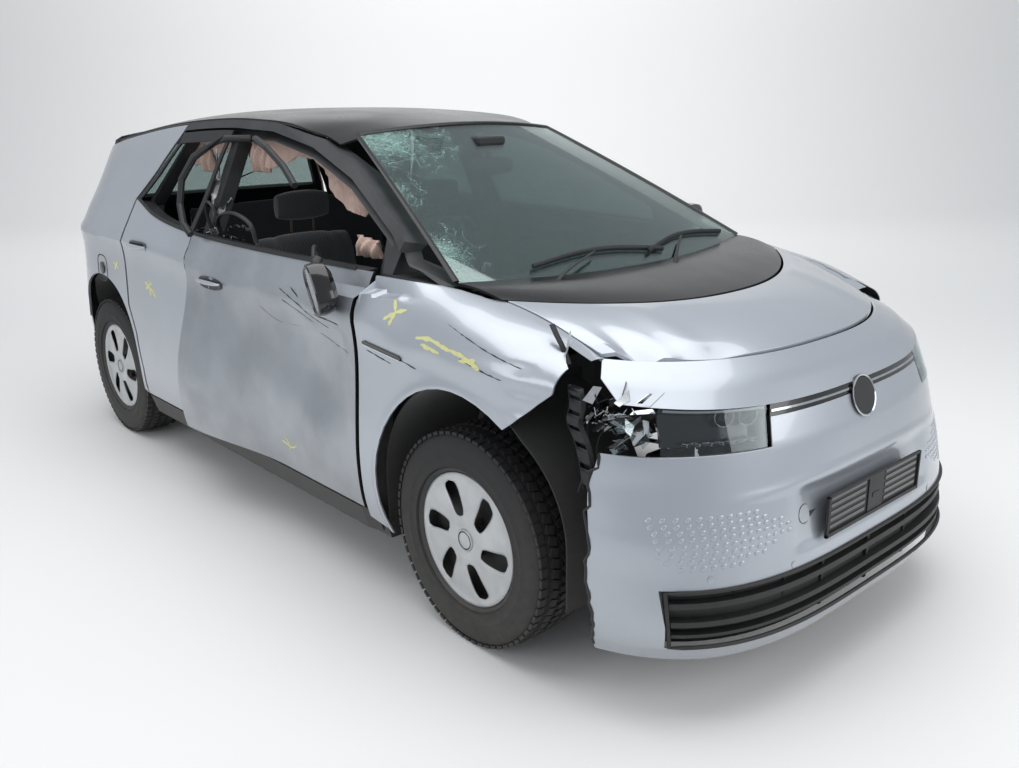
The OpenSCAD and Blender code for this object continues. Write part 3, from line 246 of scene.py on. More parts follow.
def tailPoint(share, z, depth=0.0):
    share, z = np.asarray(share, float), np.asarray(z, float)
    lift = 75 * curve("creaseFade", z)
    wide = curve("halfWidth", z - lift)
    s = np.abs(share) ** 1.5
    c = np.sqrt(np.maximum(0, 1 - s * s))
    return np.stack([-1500 - (curve("tailReach", z) - depth) * c ** (2 / 3), np.sign(share) * (wide - depth) * s ** (2 / 3), z + 0 * share], -1)


def cowlFront(y):
    y = np.asarray(y, float)
    return np.stack([1620 - 220 * (abs(y) / 600) ** 2.3, y, 1040 + 30 * (abs(y) / 700) ** 2], -1)


def glassBase(y):
    y = np.asarray(y, float)
    return np.stack([1250 - 130 * (abs(y) / 720) ** 2, y, 1085 + 14 * (abs(y) / 720) ** 2], -1)


def glassHead(y):
    y = np.asarray(y, float)
    return np.stack([300 - 50 * (abs(y) / 500) ** 2, y, 1545 - 32 * (abs(y) / 500) ** 2], -1)


def crashY(x, z):  # bulge and dent of the jammed door, with the smaller buckles of its skin
    bulge = ease((250 - x) / 700) * ease((1010 - z) / 500)
    dent = ease((x - 250) / 250) * ease((785 - x) / 120) * ease((z - 520) / 200)
    big = 75 * bulge - 28 * dent * ease((950 - z) / 80)
    fade = ease((x + 440) / 90) * ease((770 - x) / 60) * ease((z - 330) / 80) * ease((1080 - z) / 60)
    buckle = 7 * np.sin(x / 96 + z / 210) * np.sin(z / 118 - x / 260) + 3.5 * np.sin(x / 41 + 1.3) * np.sin(z / 63)
    pocket = -16 * np.exp(-(((x - 60) / 170) ** 2 + ((z - 760) / 120) ** 2))
    crumple = -9 * np.exp(-(((x + 330) / 45) ** 2)) * np.sin(z / 15) * ease((560 - z) / 120)
    return big + fade * (buckle + pocket + crumple)


# ---- meshes ----
def weld(mesh, distance=1e-5, recalc=False):
    bm = bmesh.new()
    bm.from_mesh(mesh)
    bmesh.ops.remove_doubles(bm, verts=bm.verts, dist=distance)
    if recalc:
        bmesh.ops.recalc_face_normals(bm, faces=bm.faces)
    bm.to_mesh(mesh)
    bm.free()


def place(name, verts, faces, materials, body="car", slot=None, picks=None, smooth=35, unit=mm):
    mesh = bpy.data.meshes.new(name)
    mesh.from_pydata([tuple(float(c) * unit for c in v) for v in verts], [], [tuple(int(i) for i in f) for f in faces])
    for m in materials if isinstance(materials, (list, tuple)) else [materials]:
        mesh.materials.append(m)
    if picks is not None:
        mesh.polygons.foreach_set("material_index", [int(p) for p in picks])
    mesh.validate()
    obj = bpy.data.objects.new(name, mesh)
    bpy.context.scene.collection.objects.link(obj)
    for p in mesh.polygons:
        p.use_smooth = True
    mesh.set_sharp_from_angle(angle=math.radians(smooth))
    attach(obj, body)
    return obj


def shellData(outer, inner, keep):  # closed skin from two nets of points
    rows, cols = outer.shape[:2]
    count = rows * cols
    verts = np.concatenate([outer.reshape(-1, 3), inner.reshape(-1, 3)])
    faces, kinds = [], []

    def has(i, j):
        return 0 <= i < rows - 1 and 0 <= j < cols - 1 and keep[i][j]

    def at(i, j, k=0):
        return k * count + i * cols + j

    for i in range(rows - 1):
        for j in range(cols - 1):
            if not keep[i][j]:
                continue
            m, n = i + 1, j + 1
            faces.append((at(i, n), at(i, j), at(m, j), at(m, n)))
            faces.append((at(i, n, 1), at(m, n, 1), at(m, j, 1), at(i, j, 1)))
            kinds += [0, 1]
            if not has(i - 1, j):
                faces.append((at(i, n), at(i, n, 1), at(i, j, 1), at(i, j)))
                kinds.append(2)
            if not has(i + 1, j):
                faces.append((at(m, j), at(m, j, 1), at(m, n, 1), at(m, n)))
                kinds.append(2)
            if not has(i, j - 1):
                faces.append((at(i, j), at(i, j, 1), at(m, j, 1), at(m, j)))
                kinds.append(2)
            if not has(i, j + 1):
                faces.append((at(m, n), at(m, n, 1), at(i, n, 1), at(i, n)))
                kinds.append(2)
    used = sorted(set(v for f in faces for v in f))
    index = {v: i for i, v in enumerate(used)}
    return verts[used], [tuple(index[v] for v in f) for f in faces], kinds


def shell(name, outer, inner, materials, keep=None, side=1, recalc=True, **more):
    keep = np.ones((outer.shape[0] - 1, outer.shape[1] - 1), bool) if keep is None else keep
    verts, faces, kinds = shellData(np.asarray(outer, float), np.asarray(inner, float), keep)
    verts = verts * np.array([1, side, 1])
    obj = place(name, verts, faces, materials, picks=[min(k, len(materials) - 1) if isinstance(materials, (list, tuple)) else 0 for k in kinds], **more)
    weld(obj.data, 1e-6, recalc)
    obj.data.set_sharp_from_angle(angle=math.radians(more.get("smooth", 35)))
    return obj


def soften(obj, width=0.0015, segments=2):
    bevel = obj.modifiers.new("edge", "BEVEL")
    bevel.width = width
    bevel.segments = segments
    bevel.limit_method = "ANGLE"
    bevel.angle_limit = math.radians(50)
    bevel.harden_normals = True
    return obj


def tube(name, path, radius, material, body="car", sides=10, closed=False, unit=mm, flat=1.0, slot=None):
    points = [Vector(p) for p in path]
    n = len(points)
    verts, faces = [], []
    last = None
    for i, p in enumerate(points):
        if closed:
            run = (points[(i + 1) % n] - points[i - 1]).normalized()
        else:
            run = (points[min(i + 1, n - 1)] - points[max(i - 1, 0)]).normalized()
        a = run.cross(Vector((0, 0, 1)) if abs(run.z) < 0.9 else Vector((1, 0, 0))).normalized() if last is None else (last - run * last.dot(run)).normalized()
        last = a
        b = run.cross(a)
        r = float(radius[i] if isinstance(radius, (list, tuple)) else radius)
        for s in range(sides):
            w = 2 * math.pi * s / sides
            verts.append(p + (a * math.cos(w) + b * (flat * math.sin(w))) * r)
    for i in range(n if closed else n - 1):
        for k in range(sides):
            m, q = (k + 1) % sides, (i + 1) % n
            faces.append((i * sides + k, i * sides + m, q * sides + m, q * sides + k))
    if not closed:
        faces.append(tuple(range(sides))[::-1])
        faces.append(tuple((n - 1) * sides + k for k in range(sides)))
    obj = place(name, verts, faces, material, body, slot=slot, smooth=50, unit=unit)
    weld(obj.data, 1e-7, True)
    return obj


def smoothPath(points, count):  # a curve through a few points, as many as asked
    p = np.array(points, float)
    t = np.linspace(0, len(p) - 1, count)
    return np.stack([curve(np.stack([np.arange(len(p)), p[:, k]], 1), t) for k in range(3)], 1)


def revolve(profile, steps, axis="y", closed=False):  # profile of (radius, offset) pairs turned about an axis
    verts, faces = [], []
    n = len(profile)
    for s in range(steps):
        a = 2 * math.pi * s / steps
        for r, o in profile:
            verts.append((r * math.cos(a), o, r * math.sin(a)) if axis == "y" else (r * math.cos(a), r * math.sin(a), o))
    for s in range(steps):
        q = (s + 1) % steps
        for i in range(n if closed else n - 1):
            j = (i + 1) % n
            faces.append((s * n + i, s * n + j, q * n + j, q * n + i))
    return verts, faces


def blockData(low, high):
    (a, b, c), (d, e, f) = low, high
    verts = [(x, y, z) for x in (a, d) for y in (b, e) for z in (c, f)]
    return verts, [(0, 1, 3, 2), (4, 6, 7, 5), (0, 4, 5, 1), (2, 3, 7, 6), (0, 2, 6, 4), (1, 5, 7, 3)]


def merged(parts):  # several (verts, faces) pairs as one
    verts, faces = [], []
    for v, f in parts:
        base = len(verts)
        verts += [tuple(p) for p in v]
        faces += [tuple(base + i for i in face) for face in f]
    return verts, faces


# ---- materials ----
def startMaterial(name):
    made = bpy.data.materials.new(name)
    made.use_nodes = True
    made.node_tree.nodes.clear()
    return made, made.node_tree


def finish(name, colour, metallic=0.0, roughness=0.5, **more):
    # base colour broken up by soft patches, dust low down, and a fine grain in the surface
    made, tree = startMaterial(name)
    coords = addNode(tree, "ShaderNodeTexCoord").outputs["Object"]
    patch = addNode(tree, "ShaderNodeTexNoise", {"Vector": coords, "Scale": 1000 / more.get("patchMm", 140), "Detail": 5.0})
    tone = addNode(tree, "ShaderNodeMapRange", {"Value": patch.outputs["Fac"], "From Min": 0.35, "From Max": 0.7})
    base = addNode(tree, "ShaderNodeMix", {0: tone.outputs[0], 6: linear(colour), 7: linear(more.get("second", colour))}, data_type="RGBA").outputs[2]
    if "dust" in more:  # dust and road film that thins out upwards
        height = addNode(tree, "ShaderNodeSeparateXYZ", {0: coords})
        low = addNode(tree, "ShaderNodeMapRange", {"Value": height.outputs["Z"], "From Min": more.get("dustTop", 0.75), "From Max": 0.12})
        speck = addNode(tree, "ShaderNodeTexNoise", {"Vector": coords, "Scale": 34.0, "Detail": 8.0, "Roughness": 0.7})
        film = addNode(tree, "ShaderNodeMath", {0: low.outputs[0], 1: speck.outputs["Fac"]}, operation="MULTIPLY")
        held = addNode(tree, "ShaderNodeMath", {0: film.outputs[0], 1: more.get("dustShare", 0.5)}, operation="MULTIPLY")
        base = addNode(tree, "ShaderNodeMix", {0: held.outputs[0], 6: base, 7: linear(more["dust"])}, data_type="RGBA").outputs[2]
    spread = more.get("spread", 0.06)
    rough = addNode(tree, "ShaderNodeMapRange", {"Value": patch.outputs["Fac"], "From Min": 0.3, "From Max": 0.7, "To Min": max(0.02, roughness - spread), "To Max": roughness + spread})
    grain = addNode(tree, "ShaderNodeTexNoise", {"Vector": coords, "Scale": 1000 / more.get("grainMm", 3), "Detail": 3.0})
    bump = addNode(tree, "ShaderNodeBump", {"Height": grain.outputs["Fac"], "Strength": more.get("grain", 0.1), "Distance": more.get("grainDeep", 0.0004)})
    shader = addNode(tree, "ShaderNodeBsdfPrincipled", {
        "Base Color": base, "Metallic": metallic, "Roughness": rough.outputs[0], "Normal": bump.outputs[0],
        "Coat Weight": more.get("coat", 0.0), "Coat Roughness": more.get("coatRough", 0.05), "Sheen Weight": more.get("sheen", 0.0),
        "Specular IOR Level": more.get("specular", 0.5),
    })
    addNode(tree, "ShaderNodeOutputMaterial", {"Surface": shader.outputs[0]})
    made.diffuse_color = linear(colour)
    return made


# Silver metallic lacquer under clear coat: pale grey with fine sparkle and a crisp top gloss
silverPaint = finish(
    "silver metallic lacquer, clear coated", "#B4BAC2", 0.62, 0.36, second="#AEB4BC", patchMm=420, coat=1.0, coatRough=0.06,
    grainMm=2.2, grain=0.05, spread=0.03, dust="#8B8981", dustTop=0.5, dustShare=0.35,
)
# The same lacquer rubbed and bruised by the other car: greyer, duller and slightly uneven
bruisedPaint = finish(
    "silver metallic lacquer, bruised", "#A3A8AF", 0.6, 0.40, second="#8F949B", patchMm=260, coat=0.75, coatRough=0.14,
    grainMm=5, grain=0.10, spread=0.08, dust="#8B8981", dustTop=0.6, dustShare=0.45,
)
# Black gloss lacquer on roof and screen surround: nearly black with soft, slightly lighter patches
blackGloss = finish("black lacquer, glossy", "#08090B", 0.0, 0.3, second="#0E1013", patchMm=300, coat=0.25, coatRough=0.12, specular=0.25, grain=0.03, spread=0.05)
# Moulded polypropylene: dark grey, satin, with a pebbled grain
blackPlastic = finish("polypropylene, moulded, dark", "#17181A", 0.0, 0.52, second="#202224", patchMm=90, grainMm=1.6, grain=0.35, dust="#5C5952", dustShare=0.35)
# Piano black trim on the nose strip and disc
glossPlastic = finish("ABS, glossy black", "#08090A", 0.0, 0.14, second="#0C0D0E", grain=0.02, coat=0.6)
# Natural rubber compound: near black, dull, dusty towards the floor
tyreRubber = finish("tyre rubber, vulcanised", "#17171A", 0.0, 0.72, second="#222224", patchMm=45, grainMm=2, grain=0.4, dust="#6E6A62", dustTop=0.7, dustShare=0.4)
# Painted wheel cover: pale silver, satin
wheelSilver = finish("wheel cover lacquer, satin silver", "#C3C6C8", 0.35, 0.38, second="#B4B7B9", patchMm=70, coat=0.3, coatRough=0.2, dust="#8A857B", dustTop=0.75, dustShare=0.3)
# Cataphoretic dip primer on pressed steel: dark grey, satin. On the wheel rims it is also painted shade: the rim behind
# the cover is kept this dark so that the deep recess seen through the slots shows black
primerSteel = finish("pressed steel, dip primed", "#2B2D30", 0.1, 0.55, second="#3A3C3E", patchMm=120, grain=0.15, dust="#6B655B", dustShare=0.5)
# Bare torn sheet: silver metal with a torn bright edge
tornSteel = finish("pressed steel, torn and bright", "#9FA3A6", 0.85, 0.35, second="#6F7376", patchMm=35, grainMm=4, grain=0.3)
# Cast aluminium: pale, finely rough from the mould
castAluminium = finish("aluminium, sand cast", "#8E9194", 0.85, 0.5, second="#75787B", patchMm=40, grainMm=1.8, grain=0.4, dust="#5E584E", dustShare=0.4)
# Grey cast iron of discs and hubs with a light film of rust
castIron = finish("cast iron, turned", "#6E6A66", 0.8, 0.42, second="#7A5540", patchMm=28, grainMm=1.5, grain=0.3)
# Spring steel with black powder coat
springSteel = finish("spring steel, powder coated", "#1C1D1F", 0.2, 0.45, second="#282A2C", patchMm=30, grain=0.2)
# Bright plated reflector film of the lamps
chromeFilm = finish("reflector film, vacuum plated", "#D5D8DA", 1.0, 0.10, second="#C2C6C9", patchMm=25, grain=0.03, spread=0.04)
# Felted arch lining: black fibres pressed flat
archFelt = finish("needle felt, pressed", "#1A1A1B", 0.0, 0.95, second="#262524", patchMm=30, grainMm=2.5, grain=0.9, grainDeep=0.0012, sheen=0.3, dust="#5B554B", dustShare=0.5)
# Wax crayon strokes of the surveyor: dull yellow, broken by the surface
waxChalk = finish("wax crayon, yellow", "#D9D88C", 0.0, 0.9, second="#C9CBA2", patchMm=7, grainMm=3, grain=0.6)
# Soft-touch dashboard skin
softTouch = finish("polyurethane skin, grained", "#1D1E20", 0.0, 0.62, second="#26282A", patchMm=120, grainMm=2.4, grain=0.45, dust="#7C7A75", dustTop=2.0, dustShare=0.12)
headliner = finish("headliner fleece, laminated", "#8D8B88", 0.0, 0.95, second="#7C7A78", patchMm=90, grainMm=2, grain=0.5, sheen=0.3)


def weaveCloth(name, colour, second, threadMm, sheen):  # plain weave from two crossing waves
    made, tree = startMaterial(name)
    coords = addNode(tree, "ShaderNodeTexCoord").outputs["Object"]
    scale = 1000 / threadMm / 6.283
    across = addNode(tree, "ShaderNodeTexWave", {"Vector": coords, "Scale": scale, "Distortion": 0.6, "Detail": 1.0}, bands_direction="Y")
    along = addNode(tree, "ShaderNodeTexWave", {"Vector": coords, "Scale": scale, "Distortion": 0.6, "Detail": 1.0}, bands_direction="DIAGONAL")
    cross = addNode(tree, "ShaderNodeMath", {0: across.outputs["Fac"], 1: along.outputs["Fac"]}, operation="MULTIPLY")
    patch = addNode(tree, "ShaderNodeTexNoise", {"Vector": coords, "Scale": 9.0, "Detail": 4.0})
    share = addNode(tree, "ShaderNodeMath", {0: cross.outputs[0], 1: patch.outputs["Fac"]}, operation="MULTIPLY")
    base = addNode(tree, "ShaderNodeMix", {0: share.outputs[0], 6: linear(colour), 7: linear(second)}, data_type="RGBA")
    bump = addNode(tree, "ShaderNodeBump", {"Height": cross.outputs[0], "Strength": 0.5, "Distance": 0.0006})
    shader = addNode(tree, "ShaderNodeBsdfPrincipled", {
        "Base Color": base.outputs[2], "Roughness": 0.92, "Sheen Weight": sheen, "Sheen Roughness": 0.5, "Normal": bump.outputs[0],
    })
    addNode(tree, "ShaderNodeOutputMaterial", {"Surface": shader.outputs[0]})
    return made


# Seat cover cloth, dark woven polyester with lighter flecks; drawn at 4 mm so that it shows
seatCloth = weaveCloth("polyester cloth, woven, dark grey", "#26272B", "#55585E", 4.0, 0.5)
# Airbag cloth, uncoated nylon: dusty pink beige
airbagCloth = weaveCloth("nylon cloth, woven, pink beige", "#B79C90", "#D6C0B2", 5.0, 0.3)


def clearMaterial(name, tint, shadow, roughness=0.02, gloss=0.16):
    # clear sheet: the tint passes light, a thin reflection lies over it, and lamps shine through
    made, tree = startMaterial(name)
    path = addNode(tree, "ShaderNodeLightPath")
    through = addNode(tree, "ShaderNodeBsdfTransparent", {"Color": linear(tint)})
    shine = addNode(tree, "ShaderNodeBsdfGlossy", {"Color": (0.9, 0.95, 0.95, 1), "Roughness": roughness})
    edge = addNode(tree, "ShaderNodeFresnel", {"IOR": 1.5})
    part = addNode(tree, "ShaderNodeMath", {0: edge.outputs[0], 1: gloss * 8}, operation="MULTIPLY")
    capped = addNode(tree, "ShaderNodeMath", {0: part.outputs[0], 1: 0.6}, operation="MINIMUM")
    surface = addNode(tree, "ShaderNodeMixShader", {0: capped.outputs[0], 1: through.outputs[0], 2: shine.outputs[0]})
    lit = addNode(tree, "ShaderNodeBsdfTransparent", {"Color": linear(shadow)})
    both = addNode(tree, "ShaderNodeMixShader", {0: path.outputs["Is Shadow Ray"], 1: surface.outputs[0], 2: lit.outputs[0]})
    addNode(tree, "ShaderNodeOutputMaterial", {"Surface": both.outputs[0]})
    made.diffuse_color = linear(tint)
    return made, tree, surface, both


# Tempered door glass: faint green grey
doorGlass = clearMaterial("soda lime glass, tempered", "#B9C4C2", "#D5DDDB")[0]
# Polycarbonate lamp lens: colourless with a soft gloss
lampLens = clearMaterial("polycarbonate, moulded clear", "#E6EAEC", "#F2F4F5", gloss=0.12)[0]


def crackedScreen():
    # laminated pane: webs of cracks that run from the crushed corner and one blow in the middle,
    # pale green splinters by the corner, clear glass elsewhere
    made, tree, surface, both = clearMaterial("soda lime glass, laminated and cracked", "#C3D0CD", "#EEF4F2")
    coords = addNode(tree, "ShaderNodeTexCoord").outputs["Object"]
    masks = []
    for centre, near, far in (((0.34, -0.44, 1.52), 0.06, 0.34), ((0.98, -0.68, 1.18), 0.03, 0.20), ((0.62, -0.62, 1.34), 0.03, 0.16)):
        away = addNode(tree, "ShaderNodeVectorMath", {0: coords, 1: centre}, operation="DISTANCE")
        masks.append(addNode(tree, "ShaderNodeMapRange", {"Value": away.outputs["Value"], "From Min": far, "From Max": near}).outputs[0])
    near = addNode(tree, "ShaderNodeMath", {0: masks[0], 1: masks[1]}, operation="MAXIMUM").outputs[0]
    near = addNode(tree, "ShaderNodeMath", {0: near, 1: masks[2]}, operation="MAXIMUM").outputs[0]
    warp = addNode(tree, "ShaderNodeTexNoise", {"Vector": coords, "Scale": 5.0, "Detail": 4.0})
    bent = addNode(tree, "ShaderNodeVectorMath", {0: coords, 1: warp.outputs["Color"]}, operation="MULTIPLY_ADD")
    bent.inputs[1].default_value = (1, 1, 1)
    tree.links.new(coords, bent.inputs[0])
    small = addNode(tree, "ShaderNodeVectorMath", {0: warp.outputs["Color"], 3: 0.10}, operation="SCALE")
    tree.links.new(small.outputs[0], bent.inputs[2])
    lines = []
    for scale, thin in ((6.0, 0.008), (20.0, 0.022), (52.0, 0.06)):
        cells = addNode(tree, "ShaderNodeTexVoronoi", {"Vector": bent.outputs[0], "Scale": scale}, feature="DISTANCE_TO_EDGE")
        lines.append(addNode(tree, "ShaderNodeMapRange", {"Value": cells.outputs["Distance"], "From Min": thin, "From Max": thin * 0.35}).outputs[0])
    wide = addNode(tree, "ShaderNodeMapRange", {"Value": near, "From Min": 0.02, "From Max": 0.25}).outputs[0]
    first = addNode(tree, "ShaderNodeMath", {0: lines[0], 1: wide}, operation="MULTIPLY").outputs[0]
    mid = addNode(tree, "ShaderNodeMapRange", {"Value": near, "From Min": 0.40, "From Max": 0.70}).outputs[0]
    second = addNode(tree, "ShaderNodeMath", {0: lines[1], 1: mid}, operation="MULTIPLY").outputs[0]
    close = addNode(tree, "ShaderNodeMapRange", {"Value": near, "From Min": 0.70, "From Max": 0.95}).outputs[0]
    third = addNode(tree, "ShaderNodeMath", {0: lines[2], 1: close}, operation="MULTIPLY").outputs[0]
    a = addNode(tree, "ShaderNodeMath", {0: first, 1: second}, operation="MAXIMUM").outputs[0]
    cracks = addNode(tree, "ShaderNodeMath", {0: a, 1: third}, operation="MAXIMUM").outputs[0]
    splinter = addNode(tree, "ShaderNodeTexVoronoi", {"Vector": bent.outputs[0], "Scale": 42.0})
    tone = addNode(tree, "ShaderNodeMapRange", {"Value": splinter.outputs["Color"], "From Min": 0.3, "From Max": 0.7})
    frost = addNode(tree, "ShaderNodeMath", {0: close, 1: tone.outputs[0]}, operation="MULTIPLY").outputs[0]
    haze = addNode(tree, "ShaderNodeMath", {0: frost, 1: 0.35}, operation="MULTIPLY").outputs[0]
    cover = addNode(tree, "ShaderNodeMath", {0: cracks, 1: haze}, operation="MAXIMUM").outputs[0]
    held = addNode(tree, "ShaderNodeMath", {0: cover, 1: 0.85}, operation="MULTIPLY").outputs[0]
    shade = addNode(tree, "ShaderNodeMix", {0: splinter.outputs["Distance"], 6: linear("#B9D6CF"), 7: linear("#5E8F87")}, data_type="RGBA")
    white = addNode(tree, "ShaderNodeBsdfPrincipled", {"Base Color": shade.outputs[2], "Roughness": 0.35})
    joined = addNode(tree, "ShaderNodeMixShader", {0: held, 1: surface.outputs[0], 2: white.outputs[0]})
    tree.links.new(joined.outputs[0], both.inputs[1])
    return made


screenGlass = crackedScreen()
# Rear lamp polycarbonate: pale red, glossy and slightly milky
lampRed = finish("polycarbonate, moulded red", "#8E1F1C", 0.0, 0.16, second="#B54A44", patchMm=50, coat=0.8, grain=0.02)
slotFinish = {
    "silver_paint": silverPaint, "black_paint": blackGloss, "black_plastic": blackPlastic, "clear_glass": doorGlass,
    "seat_cloth": seatCloth, "airbag_cloth": airbagCloth, "lamp_red": lampRed, "floor_paint": primerSteel,
    "cast_metal": castAluminium, "iron": castIron, "wheel_cover": wheelSilver, "tyre": tyreRubber,
}
nodeFinish = {
    "floor_pan": primerSteel, "battery_pack": castAluminium, "drive_motor": castAluminium, "side_frames": primerSteel,
    "dashboard": softTouch, "arch_liners": archFelt, "front_frame": primerSteel, "steering_rack": castIron,
    "knuckle_left": castAluminium, "knuckle_right": castAluminium, "rear_axle": springSteel, "bent_window_frame": blackPlastic,
    "tail_lamps": lampRed, "door_glass_front_left": doorGlass, "door_glass_rear_left": doorGlass, "tailgate_glass": doorGlass,
}
for name, node in nodes.items():
    node.data.materials.clear()
    node.data.materials.append(nodeFinish.get(name, blackPlastic))
print("materials made")


# ---- doors ----
doorStyle = {"rim": 36, "box": 50, "frame": 46, "flange": 10, "depth": 96, "across": 44, "perLevel": 4}
doorLevels = {
    "rear": [
        (300, -1055, 0), (336, -1046, 0), (362, -1043, 0), (430, -1037, 0), (600, -1072, 0), (720, -1138, 0),
        (900, -1142, 0), (1020, -1142, 0), (0, -1150, 1), (0.5, -1040, 2), (1, -930, 3),
    ],
    "front": [
        (300, 0, 0), (336, 0, 0), (362, 0, 0), (480, 0, 0), (620, 0, 0), (760, 0, 0), (900, 0, 0), (1000, 0, 0),
        (0, 0, 1), (0.5, 0, 2), (1, 0, 3),
    ],
}


def doorXZ(rear, j, u):
    height, backX, kind = doorLevels["rear" if rear else "front"][j]
    front = -465 if rear else 785
    back = backX if rear else -460
    x = mix(front - (15 if kind >= 2 and not rear else 0), back, u)
    top = curve("rail", x) - 42
    if kind == 0:
        return x, height + 0 * x
    if kind == 1:
        return x, curve("sill", x)
    if kind == 2:
        return x, mix(curve("sill", x), top - doorStyle["frame"], 0.5)
    return x, top


def doorShell(name, rear, side, body, upper=True, hurt=False):
    width = (680 if rear else 1245)
    rim, box = doorStyle["rim"] / width, doorStyle["box"] / width
    keys = [0, rim, box, 0.2, 0.35, 0.5, 0.65, 0.8, 1 - box * 1.3, 1 - rim, 1]
    us = np.unique(np.concatenate([keys, np.linspace(box, 1 - box * 1.3, doorStyle["across"])]))
    rows = []
    for j in range(11):  # places of each level, then the lowered upper corner and the top
        x, z = doorXZ(rear, j, us)
        rows.append((x, z - (doorStyle["frame"] if j == 10 else 0)))
        if j == 10:
            rows.append((x, z))
    last = 11 if upper else 8
    js = np.unique(np.concatenate([np.linspace(j, j + 1, 2 if j in (0, 1, 10) else doorStyle["perLevel"] + 1) for j in range(last)]))
    edgeU = np.interp(us, keys, [0, 1, 2, 3, 4, 5, 4, 3, 2, 1, 0])
    outer, inner, keep = [], [], []
    for i, u in enumerate(us):
        line, back = [], []
        for j in js:
            a = min(int(j), last - 1)
            t = j - a
            x, z = mix(rows[a][0][i], rows[a + 1][0][i], t), mix(rows[a][1][i], rows[a + 1][1][i], t)
            y = float(sideY(x, z))
            levelDepth = np.interp(j, [0, 1, 2, 7, 8, 9, 10, 11], [10, 10, 96, 96, 60, 34, 34, 10])
            depth = min(levelDepth, np.interp(edgeU[i], [0, 1, 2], [10, 10, 96]))
            push = float(crashY(x, z)) if hurt else 0.0
            line.append((x, y + push, z))
            back.append((x, y - depth + push, z))
        outer.append(line)
        inner.append(back)
    outer, inner = np.array(outer), np.array(inner)
    keep = np.ones((len(us) - 1, len(js) - 1), bool)
    if upper:
        uMid, jMid = (us[:-1] + us[1:]) / 2, (js[:-1] + js[1:]) / 2
        keep = ~np.outer((uMid > rim) & (uMid < 1 - rim), (jMid > 8) & (jMid < 10))
    paint = bruisedPaint if hurt else silverPaint
    obj = shell(name, outer, inner, [paint, softTouch, blackPlastic], keep, side, body=body, slot="silver_paint")
    if upper:  # the frame round the window is black
        for p in obj.data.polygons:
            c = p.center
            if c.z / mm > float(curve("sill", c.x / mm)) + 4 and p.material_index == 0:
                p.material_index = 2
    return soften(obj)


def onSide(x, z, side, lift=0.0, hurt=False):  # point on the body side, with a lift off it
    y = float(sideY(x, z)) + (float(crashY(x, z)) if hurt else 0)
    return (x, side * (y + lift), z)


def sideNormal(x, z, side, hurt=False):
    e = 4
    a = Vector(onSide(x + e, z, side, 0, hurt)) - Vector(onSide(x - e, z, side, 0, hurt))
    b = Vector(onSide(x, z + e, side, 0, hurt)) - Vector(onSide(x, z - e, side, 0, hurt))
    n = a.cross(b).normalized()
    return n if n.y * side > 0 else -n


def ribbon(name, route, width, thick, material, side, body="car", lift=0.4, hurt=False, rough=0.0, slot=None, surface=None, taper=True):
    # flat band that follows a skin along a route of (x, z) places
    surface = surface or (lambda x, z: (Vector(onSide(x, z, side, 0, hurt)), sideNormal(x, z, side, hurt)))
    rng = random.Random(len(name) * 7 + int(abs(route[0][0])))
    n = len(route)
    verts, faces = [], []
    for i, (x, z) in enumerate(route):
        a, b = route[max(i - 1, 0)], route[min(i + 1, n - 1)]
        p, normal = surface(x, z)
        run = (surface(*b)[0] - surface(*a)[0]).normalized()
        across = normal.cross(run).normalized()
        w = width / 2 * (0.35 if taper and i in (0, n - 1) else 1) * (1 + rough * rng.uniform(-1, 1))
        shift = across * (rough * width * 0.3 * rng.uniform(-1, 1))
        for s, d in ((-1, lift), (1, lift), (1, lift + thick), (-1, lift + thick)):
            verts.append(p + across * w * s + normal * d + shift)
    for i in range(n - 1):
        for k in range(4):
            m = (k + 1) % 4
            faces.append((4 * i + k, 4 * i + m, 4 * i + 4 + m, 4 * i + 4 + k))
    faces += [(3, 2, 1, 0), tuple(4 * (n - 1) + k for k in range(4))]
    obj = place(name, verts, faces, material, body, slot=slot, smooth=40)
    weld(obj.data, 1e-7, True)
    return obj


def densify(route, step=18):
    out = []
    for (a, b), (c, d) in zip(route[:-1], route[1:]):
        n = max(1, int(math.hypot(c - a, d - b) / step))
        out += [(mix(a, c, i / n), mix(b, d, i / n)) for i in range(n)]
    return out + [route[-1]]


handleStyle = {"half": 96, "high": 26, "deep": 30}


def doorHandle(name, x, z, side, body, hurt=False):
    # oval bowl pressed into the skin with a bar across it
    centre, n = Vector(onSide(x, z, side, 0, hurt)), sideNormal(x, z, side, hurt)
    run = Vector((1, 0, 0)) - n * n.x
    run.normalize()
    up = n.cross(run).normalized()
    if up.z < 0:
        up = -up
    verts, faces = [], []
    radii = ((1.0, 0.6), (0.93, 0.9), (0.86, 0.4), (0.55, 0.35), (0.01, 0.3))
    for share, lift in radii:
        for k in range(28):
            a = 2 * math.pi * k / 28
            c = math.copysign(abs(math.cos(a)) ** 0.75, math.cos(a))
            s = math.copysign(abs(math.sin(a)) ** 0.9, math.sin(a))
            verts.append(centre + run * (handleStyle["half"] * share * c) + up * (handleStyle["high"] * share * s) + n * lift)
    for i in range(len(radii) - 1):
        for k in range(28):
            m = (k + 1) % 28
            faces.append((28 * i + k, 28 * i + m, 28 * i + 28 + m, 28 * i + 28 + k))
    bowl = place(name + "Bowl", verts, faces, glossPlastic, body, slot="black_plastic", smooth=60)
    weld(bowl.data, 1e-7, False)
    path = [centre + run * (handleStyle["half"] * t) + up * 4 + n * (2 + 17 * (1 - t * t) ** 0.5) for t in np.linspace(-0.98, 0.98, 17)]
    bar = tube(name + "Bar", path, [7 + 7 * (1 - t * t) for t in np.linspace(-0.98, 0.98, 17)], silverPaint, body, sides=12, flat=0.62, slot="silver_paint")
    return bowl, bar


